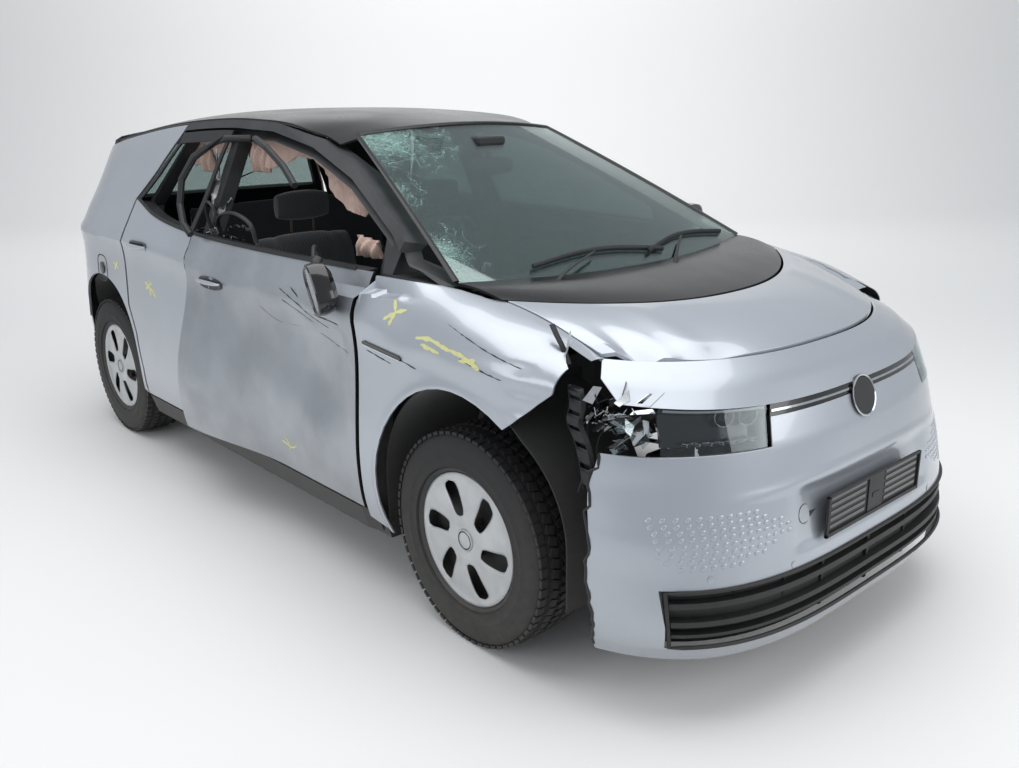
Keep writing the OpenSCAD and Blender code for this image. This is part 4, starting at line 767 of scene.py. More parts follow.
def makeDoors():
    made = [
        doorShell("frontDoorLeft", False, 1, "front_left_door"), doorShell("rearDoorLeft", True, 1, "rear_left_door"),
        doorShell("frontDoorRight", False, -1, "car", upper=False, hurt=True), doorShell("rearDoorRight", True, -1, "car"),
    ]
    for obj, node in zip(made, ("front_door_left", "rear_door_left", "front_door_right", "rear_door_right")):
        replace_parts(obj, node)
    doorHandle("frontHandleLeft", -225, 948, 1, "front_left_door")
    doorHandle("rearHandleLeft", -945, 1018, 1, "rear_left_door")
    doorHandle("frontHandleRight", -225, 945, -1, "car", hurt=True)
    doorHandle("rearHandleRight", -945, 1018, -1, "car")
    for name, side, body, front, back in (
        ("beltTrimFrontLeft", 1, "front_left_door", 772, -452), ("beltTrimRearLeft", 1, "rear_left_door", -474, -1138),
        ("beltTrimFrontRight", -1, "car", 700, -452), ("beltTrimRearRight", -1, "car", -474, -1138),
    ):
        route = [(x, float(curve("sill", x)) + 3) for x in np.linspace(front, back, 28)]
        ribbon(name, route, 15, 4, blackPlastic, side, body, 0.0, slot="black_plastic", taper=False)
    for name, side, body, front, back, low, hurt in (
        ("sillCladFrontLeft", 1, "front_left_door", 770, -445, 322, False), ("sillCladRearLeft", 1, "rear_left_door", -480, -1040, 322, False),
    ):
        ribbon(name, [(x, low) for x in np.linspace(front, back, 20)], 26, 3, blackPlastic, side, body, -0.5, slot="black_plastic", taper=False)


makeDoors()
print("doors made")


# ---- rear quarters ----
quarterLines = {
    "front": [(-1066, 300), (-1049, 430), (-1087, 600), (-1154, 720), (-1158, 900)],
    "pillar": [(-1158, 1020), (-1164, 1206), (-1054, 1330), (-944, 1490), (-925, 1535)],
    "edge": [(552, 0.951), (640, 0.957), (750, 0.963), (850, 0.963), (920, 0.96), (1006, 0.955)],
    "screen": [(-1960, 1020), (-1942, 1062), (-1922, 1180), (-1900, 1300), (-1850, 1402)],
}


def along(path, t):
    path = np.asarray(path, float)
    s = np.clip(t, 0, 1) * (len(path) - 1)
    i = int(min(math.floor(s), len(path) - 2))
    return path[i] + (path[i + 1] - path[i]) * (s - i)


def coons(low, high, near, far, u, v):
    low, high, near, far = (np.asarray(p, float) for p in (low, high, near, far))
    return (
        mix(along(low, u), along(high, u), v) + mix(along(near, v), along(far, v), u)
        - mix(mix(low[0], low[-1], u), mix(high[0], high[-1], u), v)
    )


def makeQuarter(name, side):
    rear = [(float(tailPoint(share, z)[0]), z) for z, share in quarterLines["edge"]]
    seam = [tuple(mix(np.array((-1158.0, 1006.0)), np.array(rear[5]), t)) for t in np.linspace(0, 1, 9)]
    rim = quarterLines["front"] + seam + rear[4::-1]
    belt = [(x, 1020.0) for x, z in seam] + [quarterLines["screen"][0]]
    high = [(x, float(curve("rail", x))) for x in np.linspace(-925, -1850, 10)]
    first, last = len(quarterLines["front"]), len(quarterLines["front"]) + len(belt) - 1
    split = 4
    ps = np.linspace(0, len(rim) - 1, (len(rim) - 1) * split + 1)
    vs = np.concatenate([np.linspace(0, 0.1, 3), np.linspace(0.1, 1, 13)[1:]])
    highVs = np.linspace(0, 1, 17)
    outer, lip = [], []
    for p in ps:
        i = min(int(p), len(rim) - 2)
        q = mix(np.array(rim[i], float), np.array(rim[i + 1], float), p - i)
        a = math.degrees(math.atan2(q[1] - 430, q[0] + 1475))
        a = math.radians(min(162, max(-19, a)))
        foot = np.array((-1475 + 395 * math.cos(a), 430 + 395 * math.sin(a)))
        u = np.clip((p - first) / (last - first), 0, 1)
        line = [mix(foot, q, v) for v in vs] + [coons(belt, high, quarterLines["pillar"], quarterLines["screen"], u, v) for v in highVs]
        outer.append([(x, float(sideY(x, z)), z) for x, z in line])
        lip.append([(x, float(sideY(x, z)) - 12, z) for x, z in line])
    mids = (ps[:-1] + ps[1:]) / 2
    cells = len(vs) + len(highVs) - 1
    keep = np.ones((len(ps) - 1, cells), bool)
    keep[:, len(vs) - 1] = (mids > first) & (mids < last - 1)
    keep[:, len(vs):] = ((mids > first) & (mids < last))[:, None]
    obj = shell(name, np.array(outer), np.array(lip), [silverPaint, primerSteel, silverPaint], keep, side, slot="silver_paint")
    return soften(obj)


quarters = [makeQuarter("rearQuarterLeft", 1), makeQuarter("rearQuarterRight", -1)]
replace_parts(quarters[0], "rear_quarters")
print("rear quarters made")


# ---- front wings ----
def makeWing(name, side, torn):
    start, backCols, topCols = 785 + (22 if torn else 5), 6, 12
    arch = [math.radians(mix(207, 57 if torn else 12, t)) for t in np.linspace(0, 1, backCols + topCols + 1)]
    low = [(1292 + 395 * math.cos(a), 430 + 395 * math.sin(a)) for a in arch]
    nose = [(1590, 830), (1655, 885), (1668, 950)] if torn else [(1715, 700), (1690, 830), (1700, 905), (1690, 955)]
    rise = [(start, mix(270, float(curve("wingTop", start)) - 0.5, t)) for t in np.linspace(0, 1, backCols + 1)]
    top = [(x, float(curve("wingTop", x)) - 0.5) for x in np.linspace(start, nose[-1][0], topCols + 1)[1:-1]]
    high = rise + top + [nose[-1]]
    us = np.linspace(0, 1, 73)
    vs = np.concatenate([np.linspace(0, 0.04, 3), 1 - 0.96 * (1 - np.linspace(0, 1, 34)[1:]) ** 1.5])
    outer = []
    for u in us:
        line = []
        for v in vs:
            x, z = coons(low, high, [low[0], rise[0]], [low[-1]] + nose, u, v)
            y = float(sideY(x, z))
            flare = 5 * math.exp(-((math.hypot(x - 1292, z - 430) - 402) / 14) ** 2)
            if torn:  # creases where the blow ran over the wing
                y -= 5 * math.exp(-(((x - 1180) / 70) ** 2 + ((z - 880) / 30) ** 2))
                y -= 7 * math.exp(-(((x - 1560) / 60) ** 2)) * abs(math.sin(z / 17)) * float(ease((x - 1450) / 100))
            line.append((x, y + flare, z))
        outer.append(line)
    outer = np.array(outer)
    inner = outer - np.array([0, 6, 0])
    obj = shell(name, outer, inner, [silverPaint, primerSteel, silverPaint], None, side, slot="silver_paint")
    return soften(obj)


wings = [makeWing("frontWingLeft", 1, False), makeWing("frontWingRight", -1, True)]
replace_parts(wings[0], "front_wing_left")
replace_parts(wings[1], "front_wing_right")
print("front wings made")


# ---- front bumper ----
bumperStyle = {
    "ends": [790, 795, 800, 802, 835, 838, 840, 840, 840, 840, 840],
    "tornEnds": [790, 790, 760, 745, 800, 812, 822, 826, 828, 828, 826],
    "lampIn": 420, "grilleEnd": 715, "thick": 6,
}


def edgeAt(k, e):  # half width of the bumper's edge e at ring k
    i = int(min(max(math.floor(k), 0), 10))
    j = min(i + 1, 10)

    def one(k):
        a = abs(e)
        if e == 5:
            return bumperStyle["ends"][k]
        if e == -5:
            return -bumperStyle["tornEnds"][k]
        if a == 4:
            return math.copysign(bumperStyle["grilleEnd"] * (0.93 if k < 5 else 1), e)
        if a == 3:
            return math.copysign(bumperStyle["lampIn"] * (1 if k < 5 else 1.18), e)
        return e * 133
    return mix(one(i), one(j), k - i)


def noseSkin(k, y, inset=0.0):  # the nose with its soft lines pressed in
    p = ringPoint(k, y, inset)
    x, side, z = float(p[0]), float(p[1]), float(p[2])
    recess = float(ease((330 - abs(y)) / 16) * ease((z - 440) / 14) * ease((618 - z) / 14))
    x -= 9 * recess
    swage = math.exp(-((z - 636 + 0.00006 * y * y) / 9) ** 2) * float(ease((620 - abs(y)) / 200))
    x += 3.5 * swage
    if y < -600:  # the torn corner hangs a little out of line
        x += 6 * math.sin(z / 37) * float(ease((-y - 600) / 150))
    return x, side, z


def makeBumper():
    split = {-5: 18, -4: 14, -3: 8, -2: 6, -1: 6, 0: 6, 1: 6, 2: 8, 3: 14, 4: 18}
    columns = [(e, s / split[e]) for e in range(-5, 5) for s in range(split[e])] + [(4, 1.0)]
    ks = np.unique(np.concatenate([np.linspace(k, k + 1, n + 1) for k, n in zip(range(10), (3, 3, 1, 5, 6, 10, 10, 2, 2, 4))]))
    outer, inner = [], []
    for e, s in columns:
        line, back = [], []
        for k in ks:
            y = mix(edgeAt(k, e), edgeAt(k, e + 1), s)
            line.append(noseSkin(k, y))
            back.append(noseSkin(k, y, bumperStyle["thick"]))
        outer.append(line)
        inner.append(back)
    keep = np.ones((len(columns) - 1, len(ks) - 1), bool)
    for i, (e, s) in enumerate(columns[:-1]):
        for j in range(len(ks) - 1):
            k = int((ks[j] + ks[j + 1]) / 2)
            outside = e <= -4 or e >= 3
            if k == 2 or (k == 3 and outside) or (k in (7, 8) and -4 <= e <= 3):
                keep[i, j] = False
    obj = shell("frontBumper", np.array(outer), np.array(inner), [silverPaint, blackPlastic, silverPaint], keep, 1, slot="silver_paint")
    return soften(obj)


bumper = makeBumper()
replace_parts(bumper, "front_bumper")
print("front bumper made")


# ---- lofted panels ----
def loft(name, lower, upper, lowerHalf, upperHalf, bulge, t0, t1, thick, materials, rows, cols, shape=None, slot=None, body="car", keep=None):
    outer = []
    for s in np.linspace(-1, 1, rows + 1):
        a, b = lower(s * lowerHalf), upper(s * upperHalf)
        line = []
        for t in np.linspace(t0, t1, cols + 1):
            p = np.array(mix(a, b, t), float)
            p[2] += bulge * 4 * t * (1 - t)
            if shape:
                p = shape(p, s, t)
            line.append(p)
        outer.append(line)
    outer = np.array(outer)
    inner = outer - np.array([0, 0, thick])
    return shell(name, outer, inner, materials, keep, 1, slot=slot, body=body)


def bonnetShape(p, s, t):
    p[2] += 5 * math.exp(-((abs(s) - 0.62 - 0.1 * t) / 0.07) ** 2) * float(ease(t / 0.15) * ease((1 - t) / 0.1))
    hurt = math.exp(-(((s + 0.93) / 0.10) ** 2 + ((t - 0.97) / 0.30) ** 2))
    p[2] += 20 * hurt * math.sin(s * 40 + 3 * t) - 5 * hurt
    p[2] -= 11 * math.exp(-(((s + 0.68) / 0.12) ** 2 + ((t - 0.93) / 0.10) ** 2))
    return p


bonnet = loft("bonnet", cowlFront, lambda y: ringPoint(0.0, y), 690, 782, 14, 0.015, 0.962, 12, [silverPaint, primerSteel, silverPaint], 64, 34, bonnetShape, "silver_paint", "bonnet_lid")
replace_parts(soften(bonnet), "bonnet")


def makeWingLedge(name, side):  # the wing's top turned in under the edge of the bonnet
    edge = []
    for t in np.linspace(0.015, 0.962, 60):
        p = np.array(mix(cowlFront(side * 690), ringPoint(0.0, side * 782), t), float)
        edge.append((p[0], abs(p[1]), p[2] + 56 * t * (1 - t)))
    edge = np.array(edge)
    outer = []
    for x in np.linspace(800, 1688, 70):
        y, z = (float(np.interp(x, edge[:, 0], edge[:, n])) for n in (1, 2))
        top = float(curve("wingTop", x)) - 3
        wide = float(sideY(x, top)) - 3
        y = min(y + 4, wide - 1)
        outer.append([(x, wide, top), (x, mix(wide, y, 0.5), mix(top, z - 3, 0.5) + 1.5), (x, y, z - 4), (x, y - 2, z - 16)])
    outer = np.array(outer)
    return soften(shell(name, outer, outer - np.array([0, 0, 1.5]), silverPaint, None, side, slot="silver_paint"), 0.0005)


makeWingLedge("wingLedgeLeft", 1)
makeWingLedge("wingLedgeRight", -1)
cowl = loft("cowlPanel", glassBase, cowlFront, 720, 697, 8, 0.001, 0.985, 10, [blackGloss, blackPlastic, blackGloss], 56, 12, None, "black_paint")
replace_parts(soften(cowl), "cowl_panel")


def brokenCells(rows, cols):  # a small hole punched near the upper corner
    keep = np.ones((rows, cols), bool)
    for i in range(rows):
        for j in range(cols):
            s, t = (i + 0.5) / rows * 2 - 1, (j + 0.5) / cols
            a = math.atan2(t - 0.86, s + 0.52)
            if math.hypot((s + 0.52) * 1.1, (t - 0.86) * 1.5) < 0.085 * (1 + 0.35 * math.sin(3 * a + 1) + 0.2 * math.sin(7 * a)):
                keep[i, j] = False
    return keep


screen = loft("windscreen", glassBase, glassHead, 720, 486, 8, 0, 0.985, 5, screenGlass, 96, 72, None, "clear_glass", "car", brokenCells(96, 72))
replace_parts(screen, "windscreen")


def makeRoof():
    outer, inner = [], []
    for x0 in np.linspace(275, -1645, 49):
        line, back = [], []
        for v in np.linspace(-1, 1, 41):
            lead = float(np.interp(x0, [115, 275], [0, 1]))
            x = x0 + (18 - 52 * v * v) * lead
            r = float(curve("rail", x))
            y = v * (float(sideY(x, r)) - float(np.interp(x, [60, 140], [5, 36])))
            top = float(curve("roof", x))
            edge = abs(v) > 0.999 or x0 > 274 or x0 < -1644
            z = top - (top - r - 7) * abs(v) ** 2.4
            line.append((x, y, z))
            back.append((x, y, z - (6.7 if edge else 22)))
        outer.append(line)
        inner.append(back)
    obj = shell("roofPanel", np.array(outer), np.array(inner), [blackGloss, headliner, blackGloss], slot="black_paint")
    return soften(obj)


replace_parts(makeRoof(), "roof_panel")
print("bonnet, screen and roof made")


# ---- tail ----
gateLine = np.array([
    (-1655, 1524, 640, 0), (-1780, 1494, 628, 5), (-1900, 1458, 596, 14), (-1918, 1430, 590, 18), (-1958, 1290, 632, 40),
    (-2002, 1150, 676, 70), (-2024, 1090, 690, 80), (-2064, 1000, 690, 90), (-2088, 860, 640, 76), (-2104, 712, 600, 66),
], float)


def gatePoint(k, s, d=0.0):
    i = min(int(k), 8)
    g = gateLine[i] + (gateLine[i + 1] - gateLine[i]) * (k - i)
    back = float(np.interp(k, [0, 2, 3, 5, 6, 9], [0, 0, 0.94, 0.94, 1, 1]))
    down = float(np.interp(k, [0, 2, 3, 5, 6, 9], [1, 1, 0.34, 0.34, 0, 0]))
    crown = float(np.interp(k, [0, 1, 2, 3, 4, 9], [52, 44, 36, 14, 0, 0]))
    trim = 8 if d > 0 and abs(s) > 0.999 else 0
    return (g[0] + g[3] * s * s + d * back, s * (g[2] - trim), g[1] - crown * abs(s) ** 2.4 - d * down)


def makeGate():
    ss = np.unique(np.concatenate([np.linspace(-1, 1, 41), [-0.9, 0.9, -0.6, 0.6]]))
    ks = np.unique(np.concatenate([np.linspace(k, k + 1, 5) for k in range(9)]))
    outer = [[gatePoint(k, s) for k in ks] for s in ss]
    inner = [[gatePoint(k, s, 6 if abs(s) > 0.999 or k in (0, 9) else 45) for k in ks] for s in ss]
    sMid, kMid = (ss[:-1] + ss[1:]) / 2, (ks[:-1] + ks[1:]) / 2
    keep = ~np.outer(abs(sMid) < 0.9, (kMid > 3) & (kMid < 5))
    obj = shell("tailgate", np.array(outer), np.array(inner), [silverPaint, blackPlastic, blackPlastic], keep, 1, body="tail_lid", slot="silver_paint")
    for p in obj.data.polygons:  # spoiler and upper frame are black
        if p.center.z > 1.115 and p.material_index == 0:
            p.material_index = 1
    return soften(obj)


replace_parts(makeGate(), "tailgate")


def makeRearBumper():
    half = np.array([0, 0.25, 0.5, 0.69, 0.74, 0.785, 0.84, 0.9, 1])
    fine = np.unique(np.concatenate([np.linspace(a, b, 5) for a, b in zip(half[:-1], half[1:])]))
    shares = np.concatenate([-fine[::-1], fine[1:]])
    endShare = [0.912, 0.912, 0.916, 0.938, 0.952, 0.952]
    middle, outside = [210, 300, 450, 580, 640, 700], [210, 300, 450, 580, 700, 850]
    ks = np.unique(np.concatenate([np.linspace(k, k + 1, 7) for k in range(5)]))

    def at(s, k, d):
        high = abs(s) >= 0.739
        share = float(np.interp(abs(s), [0.9, 1], [0.9, float(np.interp(k, range(6), endShare))])) if abs(s) > 0.9 else abs(s)
        z = float(np.interp(k, range(6), outside if high else middle))
        if not high and abs(s) > 0.69:
            z = mix(float(np.interp(k, range(6), middle)), float(np.interp(k, range(6), outside)), (abs(s) - 0.69) / 0.05)
        share = max(share, 1e-4) * (1 if s >= 0 else -1)
        x, y, zz = tailPoint(share, z, d)
        x = float(x) - 5 * math.exp(-((z - 560) / 12) ** 2) + 10 * float(ease((z - 250) / 20) * ease((420 - z) / 20) * ease((0.55 - abs(s)) / 0.1))
        return (x, float(y), float(zz))

    outer = [[at(s, k, 0) for k in ks] for s in shares]
    inner = [[at(s, k, 6) for k in ks] for s in shares]
    obj = shell("rearBumper", np.array(outer), np.array(inner), [silverPaint, blackPlastic, silverPaint], slot="silver_paint")
    for p in obj.data.polygons:
        if p.center.z < 0.43 and p.material_index == 0 and abs(p.center.y) < 0.74:
            p.material_index = 1
    return soften(obj)


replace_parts(makeRearBumper(), "rear_bumper")
print("tail made")


# ---- geometry node trees ----
def nodeTree(name, inputs):
    tree = bpy.data.node_groups.new(name, "GeometryNodeTree")
    tree.interface.new_socket("Geometry", in_out="INPUT", socket_type="NodeSocketGeometry")
    for label, kind, value in inputs:
        socket = tree.interface.new_socket(label, in_out="INPUT", socket_type=kind)
        if value is not None:
            socket.default_value = value
    tree.interface.new_socket("Geometry", in_out="OUTPUT", socket_type="NodeSocketGeometry")
    start = addNode(tree, "NodeGroupInput")
    return tree, start


def grown(name, source, tree, values, body):  # the tree's result as a plain mesh that rides on a body
    mod = source.modifiers.new(tree.name, "NODES")
    mod.node_group = tree
    for item in tree.interface.items_tree:
        if item.item_type == "SOCKET" and item.in_out == "INPUT" and item.name in values:
            mod[item.identifier] = values[item.name]
    bpy.context.view_layer.update()
    evaluated = source.evaluated_get(bpy.context.evaluated_depsgraph_get())
    mesh = bpy.data.meshes.new_from_object(evaluated)
    source.modifiers.remove(mod)
    bpy.data.objects.remove(source)
    obj = bpy.data.objects.new(name, mesh)
    bpy.context.scene.collection.objects.link(obj)
    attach(obj, body)
    return obj


def pointCloud(name, points, normals):  # points with the way each one faces
    mesh = bpy.data.meshes.new(name)
    mesh.from_pydata([tuple(float(c) for c in p) for p in points], [], [])
    facing = mesh.attributes.new("facing", "FLOAT_VECTOR", "POINT")
    facing.data.foreach_set("vector", np.array(normals, np.float32).ravel())
    obj = bpy.data.objects.new(name, mesh)
    bpy.context.scene.collection.objects.link(obj)
    return obj


def dimpleTree():  # low oval pads seated on a skin, long side across the car
    tree, start = nodeTree("ovalPads", [
        ("Length", "NodeSocketFloat", 0.02), ("Height", "NodeSocketFloat", 0.012), ("Proud", "NodeSocketFloat", 0.003),
        ("Material", "NodeSocketMaterial", None),
    ])
    facing = addNode(tree, "GeometryNodeInputNamedAttribute", {"Name": "facing"}, data_type="FLOAT_VECTOR")
    turned = addNode(tree, "FunctionNodeAlignRotationToVector", {"Vector": facing.outputs["Attribute"]}, axis="Z")
    pad = addNode(tree, "GeometryNodeMeshUVSphere", {"Segments": 14, "Rings": 6, "Radius": 0.5})
    size = addNode(tree, "ShaderNodeCombineXYZ", {"X": start.outputs["Height"], "Y": start.outputs["Length"], "Z": start.outputs["Proud"]})
    placed = addNode(tree, "GeometryNodeInstanceOnPoints", {
        "Points": start.outputs["Geometry"], "Instance": pad.outputs["Mesh"], "Rotation": turned.outputs[0], "Scale": size.outputs[0],
    })
    real = addNode(tree, "GeometryNodeRealizeInstances", {"Geometry": placed.outputs[0]})
    soft = addNode(tree, "GeometryNodeSetShadeSmooth", {"Geometry": real.outputs[0]})
    painted = addNode(tree, "GeometryNodeSetMaterial", {"Geometry": soft.outputs[0], "Material": start.outputs["Material"]})
    addNode(tree, "NodeGroupOutput", {"Geometry": painted.outputs[0]})
    return tree


def noseNormal(k, y):
    e = 0.05
    a = Vector(noseSkin(k, y + 4)) - Vector(noseSkin(k, y - 4))
    b = Vector(noseSkin(k - e, y)) - Vector(noseSkin(k + e, y))
    n = a.cross(b).normalized()
    return n if n.x > 0 else -n


def makePads():
    tree = dimpleTree()
    for label, side in (("Right", -1), ("Left", 1)):
        points, normals = [], []
        rows = [(5.62, 470, 735), (5.76, 430, 742), (5.90, 385, 742), (6.04, 345, 738), (6.18, 352, 730), (6.32, 392, 722), (6.45, 440, 705), (6.58, 500, 690)]
        for n, (k, near, far) in enumerate(rows):
            for y in np.arange(near + (13 if n % 2 else 0), far, 26):
                points.append(Vector(noseSkin(k, side * y)) * mm)
                normals.append(noseNormal(k, side * y))
        cloud = pointCloud("pads" + label, points, normals)
        grown("ovalPads" + label, cloud, tree, {"Length": 0.020, "Height": 0.0125, "Proud": 0.0048, "Material": silverPaint}, "car")


makePads()
print("oval pads made")


# ---- nose trim, lamps ----
def nosePatch(name, y0, y1, k0, k1, front, deep, material, cells=24, rows=6, slot=None, trim=0.012, body="car"):
    ys = np.linspace(y0, y1, cells + 1)
    ks = np.linspace(k0 + trim, k1 - trim, rows + 1)
    outer = [[ringPoint(k, y, front) for k in ks] for y in ys]
    inner = [[ringPoint(k, y, deep) for k in ks] for y in ys]
    return shell(name, np.array(outer), np.array(inner), material, None, 1, slot=slot, body=body)


trimStyle = {"strip": (-422, 422), "disc": 62, "plateHalf": 265, "plateLow": 455, "plateHigh": 580, "plateX": 2149.2, "slats": 3}


def makeNoseTrim():
    strip = nosePatch("noseStrip", *trimStyle["strip"], 2, 3, 1, 16, glossPlastic, 40, 3, "black_plastic")
    bright = nosePatch("noseLine", -418, 418, 2.42, 2.62, -1.0, 1.5, chromeFilm, 40, 1, "black_plastic", 0.0)
    tilt = math.atan2(803 - 780, 816 - 742)
    ahead = Vector((math.cos(tilt), 0, math.sin(tilt)))
    up = Vector((-math.sin(tilt), 0, math.cos(tilt)))
    centre = Vector((1300 + mix(780, 803, 16 / 74), 0, 800))
    profile = [(0.01, 7.0), (40, 7.6), (53, 7.4), (54.5, 5.6), (56, 7.8), (60, 9.0), (62, 7.5), (62, 0.3)]
    verts, faces = [], []
    steps = 64
    for r, h in profile:
        for s in range(steps):
            a = 2 * math.pi * s / steps
            verts.append(centre + ahead * h + Vector((0, 1, 0)) * (r * math.cos(a)) + up * (r * math.sin(a)))
    for i in range(len(profile) - 1):
        for s in range(steps):
            q = (s + 1) % steps
            faces.append((i * steps + s, i * steps + q, (i + 1) * steps + q, (i + 1) * steps + s))
    faces.append(tuple((len(profile) - 1) * steps + s for s in range(steps)))
    picks = [1 if f // steps >= 4 and f // steps <= 5 else 0 for f in range(len(faces) - 1)] + [0]
    disc = place("noseDisc", verts, faces, [glossPlastic, chromeFilm], picks=picks, slot="black_plastic")
    weld(disc.data, 1e-6, True)
    disc.data.set_sharp_from_angle(angle=math.radians(30))
    # plate holder: shallow tray with a raised rim, a middle clamp and two bare plate halves
    x, w, low, high = trimStyle["plateX"], trimStyle["plateHalf"], trimStyle["plateLow"], trimStyle["plateHigh"]
    parts = [
        blockData((x, -w, low), (x + 3, w, high)),
        blockData((x, -w, low), (x + 10, w, low + 12)), blockData((x, -w, high - 7), (x + 10, w, high)),
        blockData((x, -w, low), (x + 10, -w + 8, high)), blockData((x, w - 8, low), (x + 10, w, high)),
        blockData((x + 2, -42, low + 12), (x + 7, 42, high - 7)),
        blockData((x + 6, -20, low + 52), (x + 9, 20, low + 66)),
    ]
    holder = place("plateHolder", *merged(parts), blackPlastic, slot="black_plastic")
    soften(holder, 0.002)
    ridges = []
    for s in (-1, 1):
        for n in range(5):
            z = low + 22 + n * 21
            ridges.append(blockData((x + 2.5, min(s * 56, s * 246), z), (x + 5, max(s * 56, s * 246), z + 12)))
    soften(place("plateRidges", *merged(ridges), glossPlastic, slot="black_plastic"), 0.0015)
    # lower grille: a dark back and slats that follow the nose
    back = nosePatch("grilleBack", -712, 712, 7, 9, 26, 30, blackPlastic, 30, 3, "black_plastic")
    for n in range(trimStyle["slats"]):
        k = 7.35 + n * 0.52
        nosePatch("grilleSlat" + str(n), -700, 700, k, k + 0.16, 3, 26, blackPlastic, 44, 2, "black_plastic", 0.0)
    bars = []
    for y in (-560, -400, -240, 0, 240, 400, 560):
        a, b = ringPoint(7.02, y, 22), ringPoint(8.98, y, 22)
        bars.append(blockData((min(a[0], b[0]) - 6, y - 6, b[2]), (max(a[0], b[0]) + 4, y + 6, a[2])))
    place("grilleRibs", *merged(bars), blackPlastic, slot="black_plastic")
    rim = [Vector(ringPoint(7.03, y, -2)) for y in np.linspace(-705, 705, 50)] + [Vector(ringPoint(8.97, y, -2)) for y in np.linspace(705, -705, 50)]
    tube("grilleRim", rim, 6, blackPlastic, closed=True, sides=8, slot="black_plastic")
    sensors = [(6.8, -600), (6.9, -330), (6.9, 330), (6.8, 600)]
    for n, (k, y) in enumerate(sensors):
        c, nrm = Vector(noseSkin(k, y)), noseNormal(k, y)
        tube("parkSensor" + str(n), [c - nrm * 2, c + nrm * 1.5, c + nrm * 2], [10, 10, 8], silverPaint, sides=20, slot="silver_paint")
    c, nrm = Vector(noseSkin(6.02, -285)), noseNormal(6.02, -285)
    cover = [c + nrm * 0.4 + (Vector((0, 1, 0)) * math.cos(a) + nrm.cross(Vector((0, 1, 0))) * math.sin(a)) * 27 for a in np.linspace(0, 2 * math.pi, 40, endpoint=False)]
    tube("towCoverJoint", cover, 0.8, blackPlastic, closed=True, sides=6, slot="black_plastic")
    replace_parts(strip, "nose_trim")


makeNoseTrim()


def lampUnit(label, side, lensFrom, lensTo, broken):
    # dark housing, a reflector row, and a clear lens outside
    def at(y, k, d):
        p = ringPoint(k, side * y, d)
        return Vector(p)
    ys = np.linspace(lensFrom, lensTo, 31)
    housing = [[at(y, k, 56) for k in np.linspace(2.05, 3.95, 9)] for y in ys]
    inner = [[at(y, k, 60) for k in np.linspace(2.02, 3.98, 9)] for y in ys]
    box = shell("headlampHousing" + label, np.array(housing), np.array(inner), glossPlastic, slot="black_plastic")
    for n, (y, k) in enumerate(((480, 2.9), (548, 2.85), (612, 2.8))):
        if broken and n == 2:
            continue
        c = at(y, k, 26)
        run = (at(y, k, 10) - at(y, k, 50)).normalized()
        profile = [(6, 26), (17, 22), (25, 8), (27, -2), (27, -8)]
        a = run.cross(Vector((0, 0, 1))).normalized()
        b = run.cross(a)
        verts, faces = [], []
        for r, d in profile:
            for s in range(24):
                w = 2 * math.pi * s / 24
                verts.append(c - run * d + a * (r * math.cos(w)) + b * (r * math.sin(w)))
        for i in range(len(profile) - 1):
            for s in range(24):
                q = (s + 1) % 24
                faces.append((i * 24 + s, i * 24 + q, (i + 1) * 24 + q, (i + 1) * 24 + s))
        faces.append(tuple(range(24)))
        cup = place("headlampCup" + label + str(n), verts, faces, chromeFilm, slot="clear_glass", smooth=40)
        weld(cup.data, 1e-6, True)
        cup.modifiers.new("wall", "SOLIDIFY").thickness = 0.002
        lens = [(0.01, -4), (8, -3), (14, 1), (17, 8), (17, 14)]
        verts, faces = [], []
        for r, d in lens:
            for s in range(24):
                w = 2 * math.pi * s / 24
                verts.append(c - run * d + a * (r * math.cos(w)) + b * (r * math.sin(w)))
        for i in range(len(lens) - 1):
            for s in range(24):
                q = (s + 1) % 24
                faces.append((i * 24 + s, i * 24 + q, (i + 1) * 24 + q, (i + 1) * 24 + s))
        faces.append(tuple(4 * 24 + s for s in range(24)))
        ball = place("headlampLens" + label + str(n), verts, faces, glossPlastic, slot="clear_glass", smooth=40)
        weld(ball.data, 1e-6, True)
    # stepped bright strip under the lens, a light guide over it
    guide = [at(y, 2.25, 8) for y in np.linspace(lensFrom + 6, lensTo - 10, 30)]
    tube("headlampGuide" + label, guide, 4, wheelSilver, sides=8, slot="clear_glass")
    steps = []
    for n in range(7):
        y = lensFrom + 24 + n * (lensTo - lensFrom - 60) / 7
        p = at(y, 3.72, 16)
        steps.append(blockData((p.x - 20, p.y - 14, p.z - 5), (p.x - 2, p.y + 14, p.z + 5)))
    soften(place("headlampSteps" + label, *merged(steps), chromeFilm, slot="clear_glass"), 0.002)
    outer = [[at(y, k, 1) for k in np.linspace(2.03, 3.97, 13)] for y in ys]
    under = [[at(y, k, 4) for k in np.linspace(2.03, 3.97, 13)] for y in ys]
    lens = shell("headlampGlass" + label, np.array(outer), np.array(under), lampLens, slot="clear_glass")
    return box, lens


leftLamp = lampUnit("Left", 1, 434, 725, False)
rightLamp = lampUnit("Right", -1, 434, 700, True)
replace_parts(leftLamp[1], "headlamps")


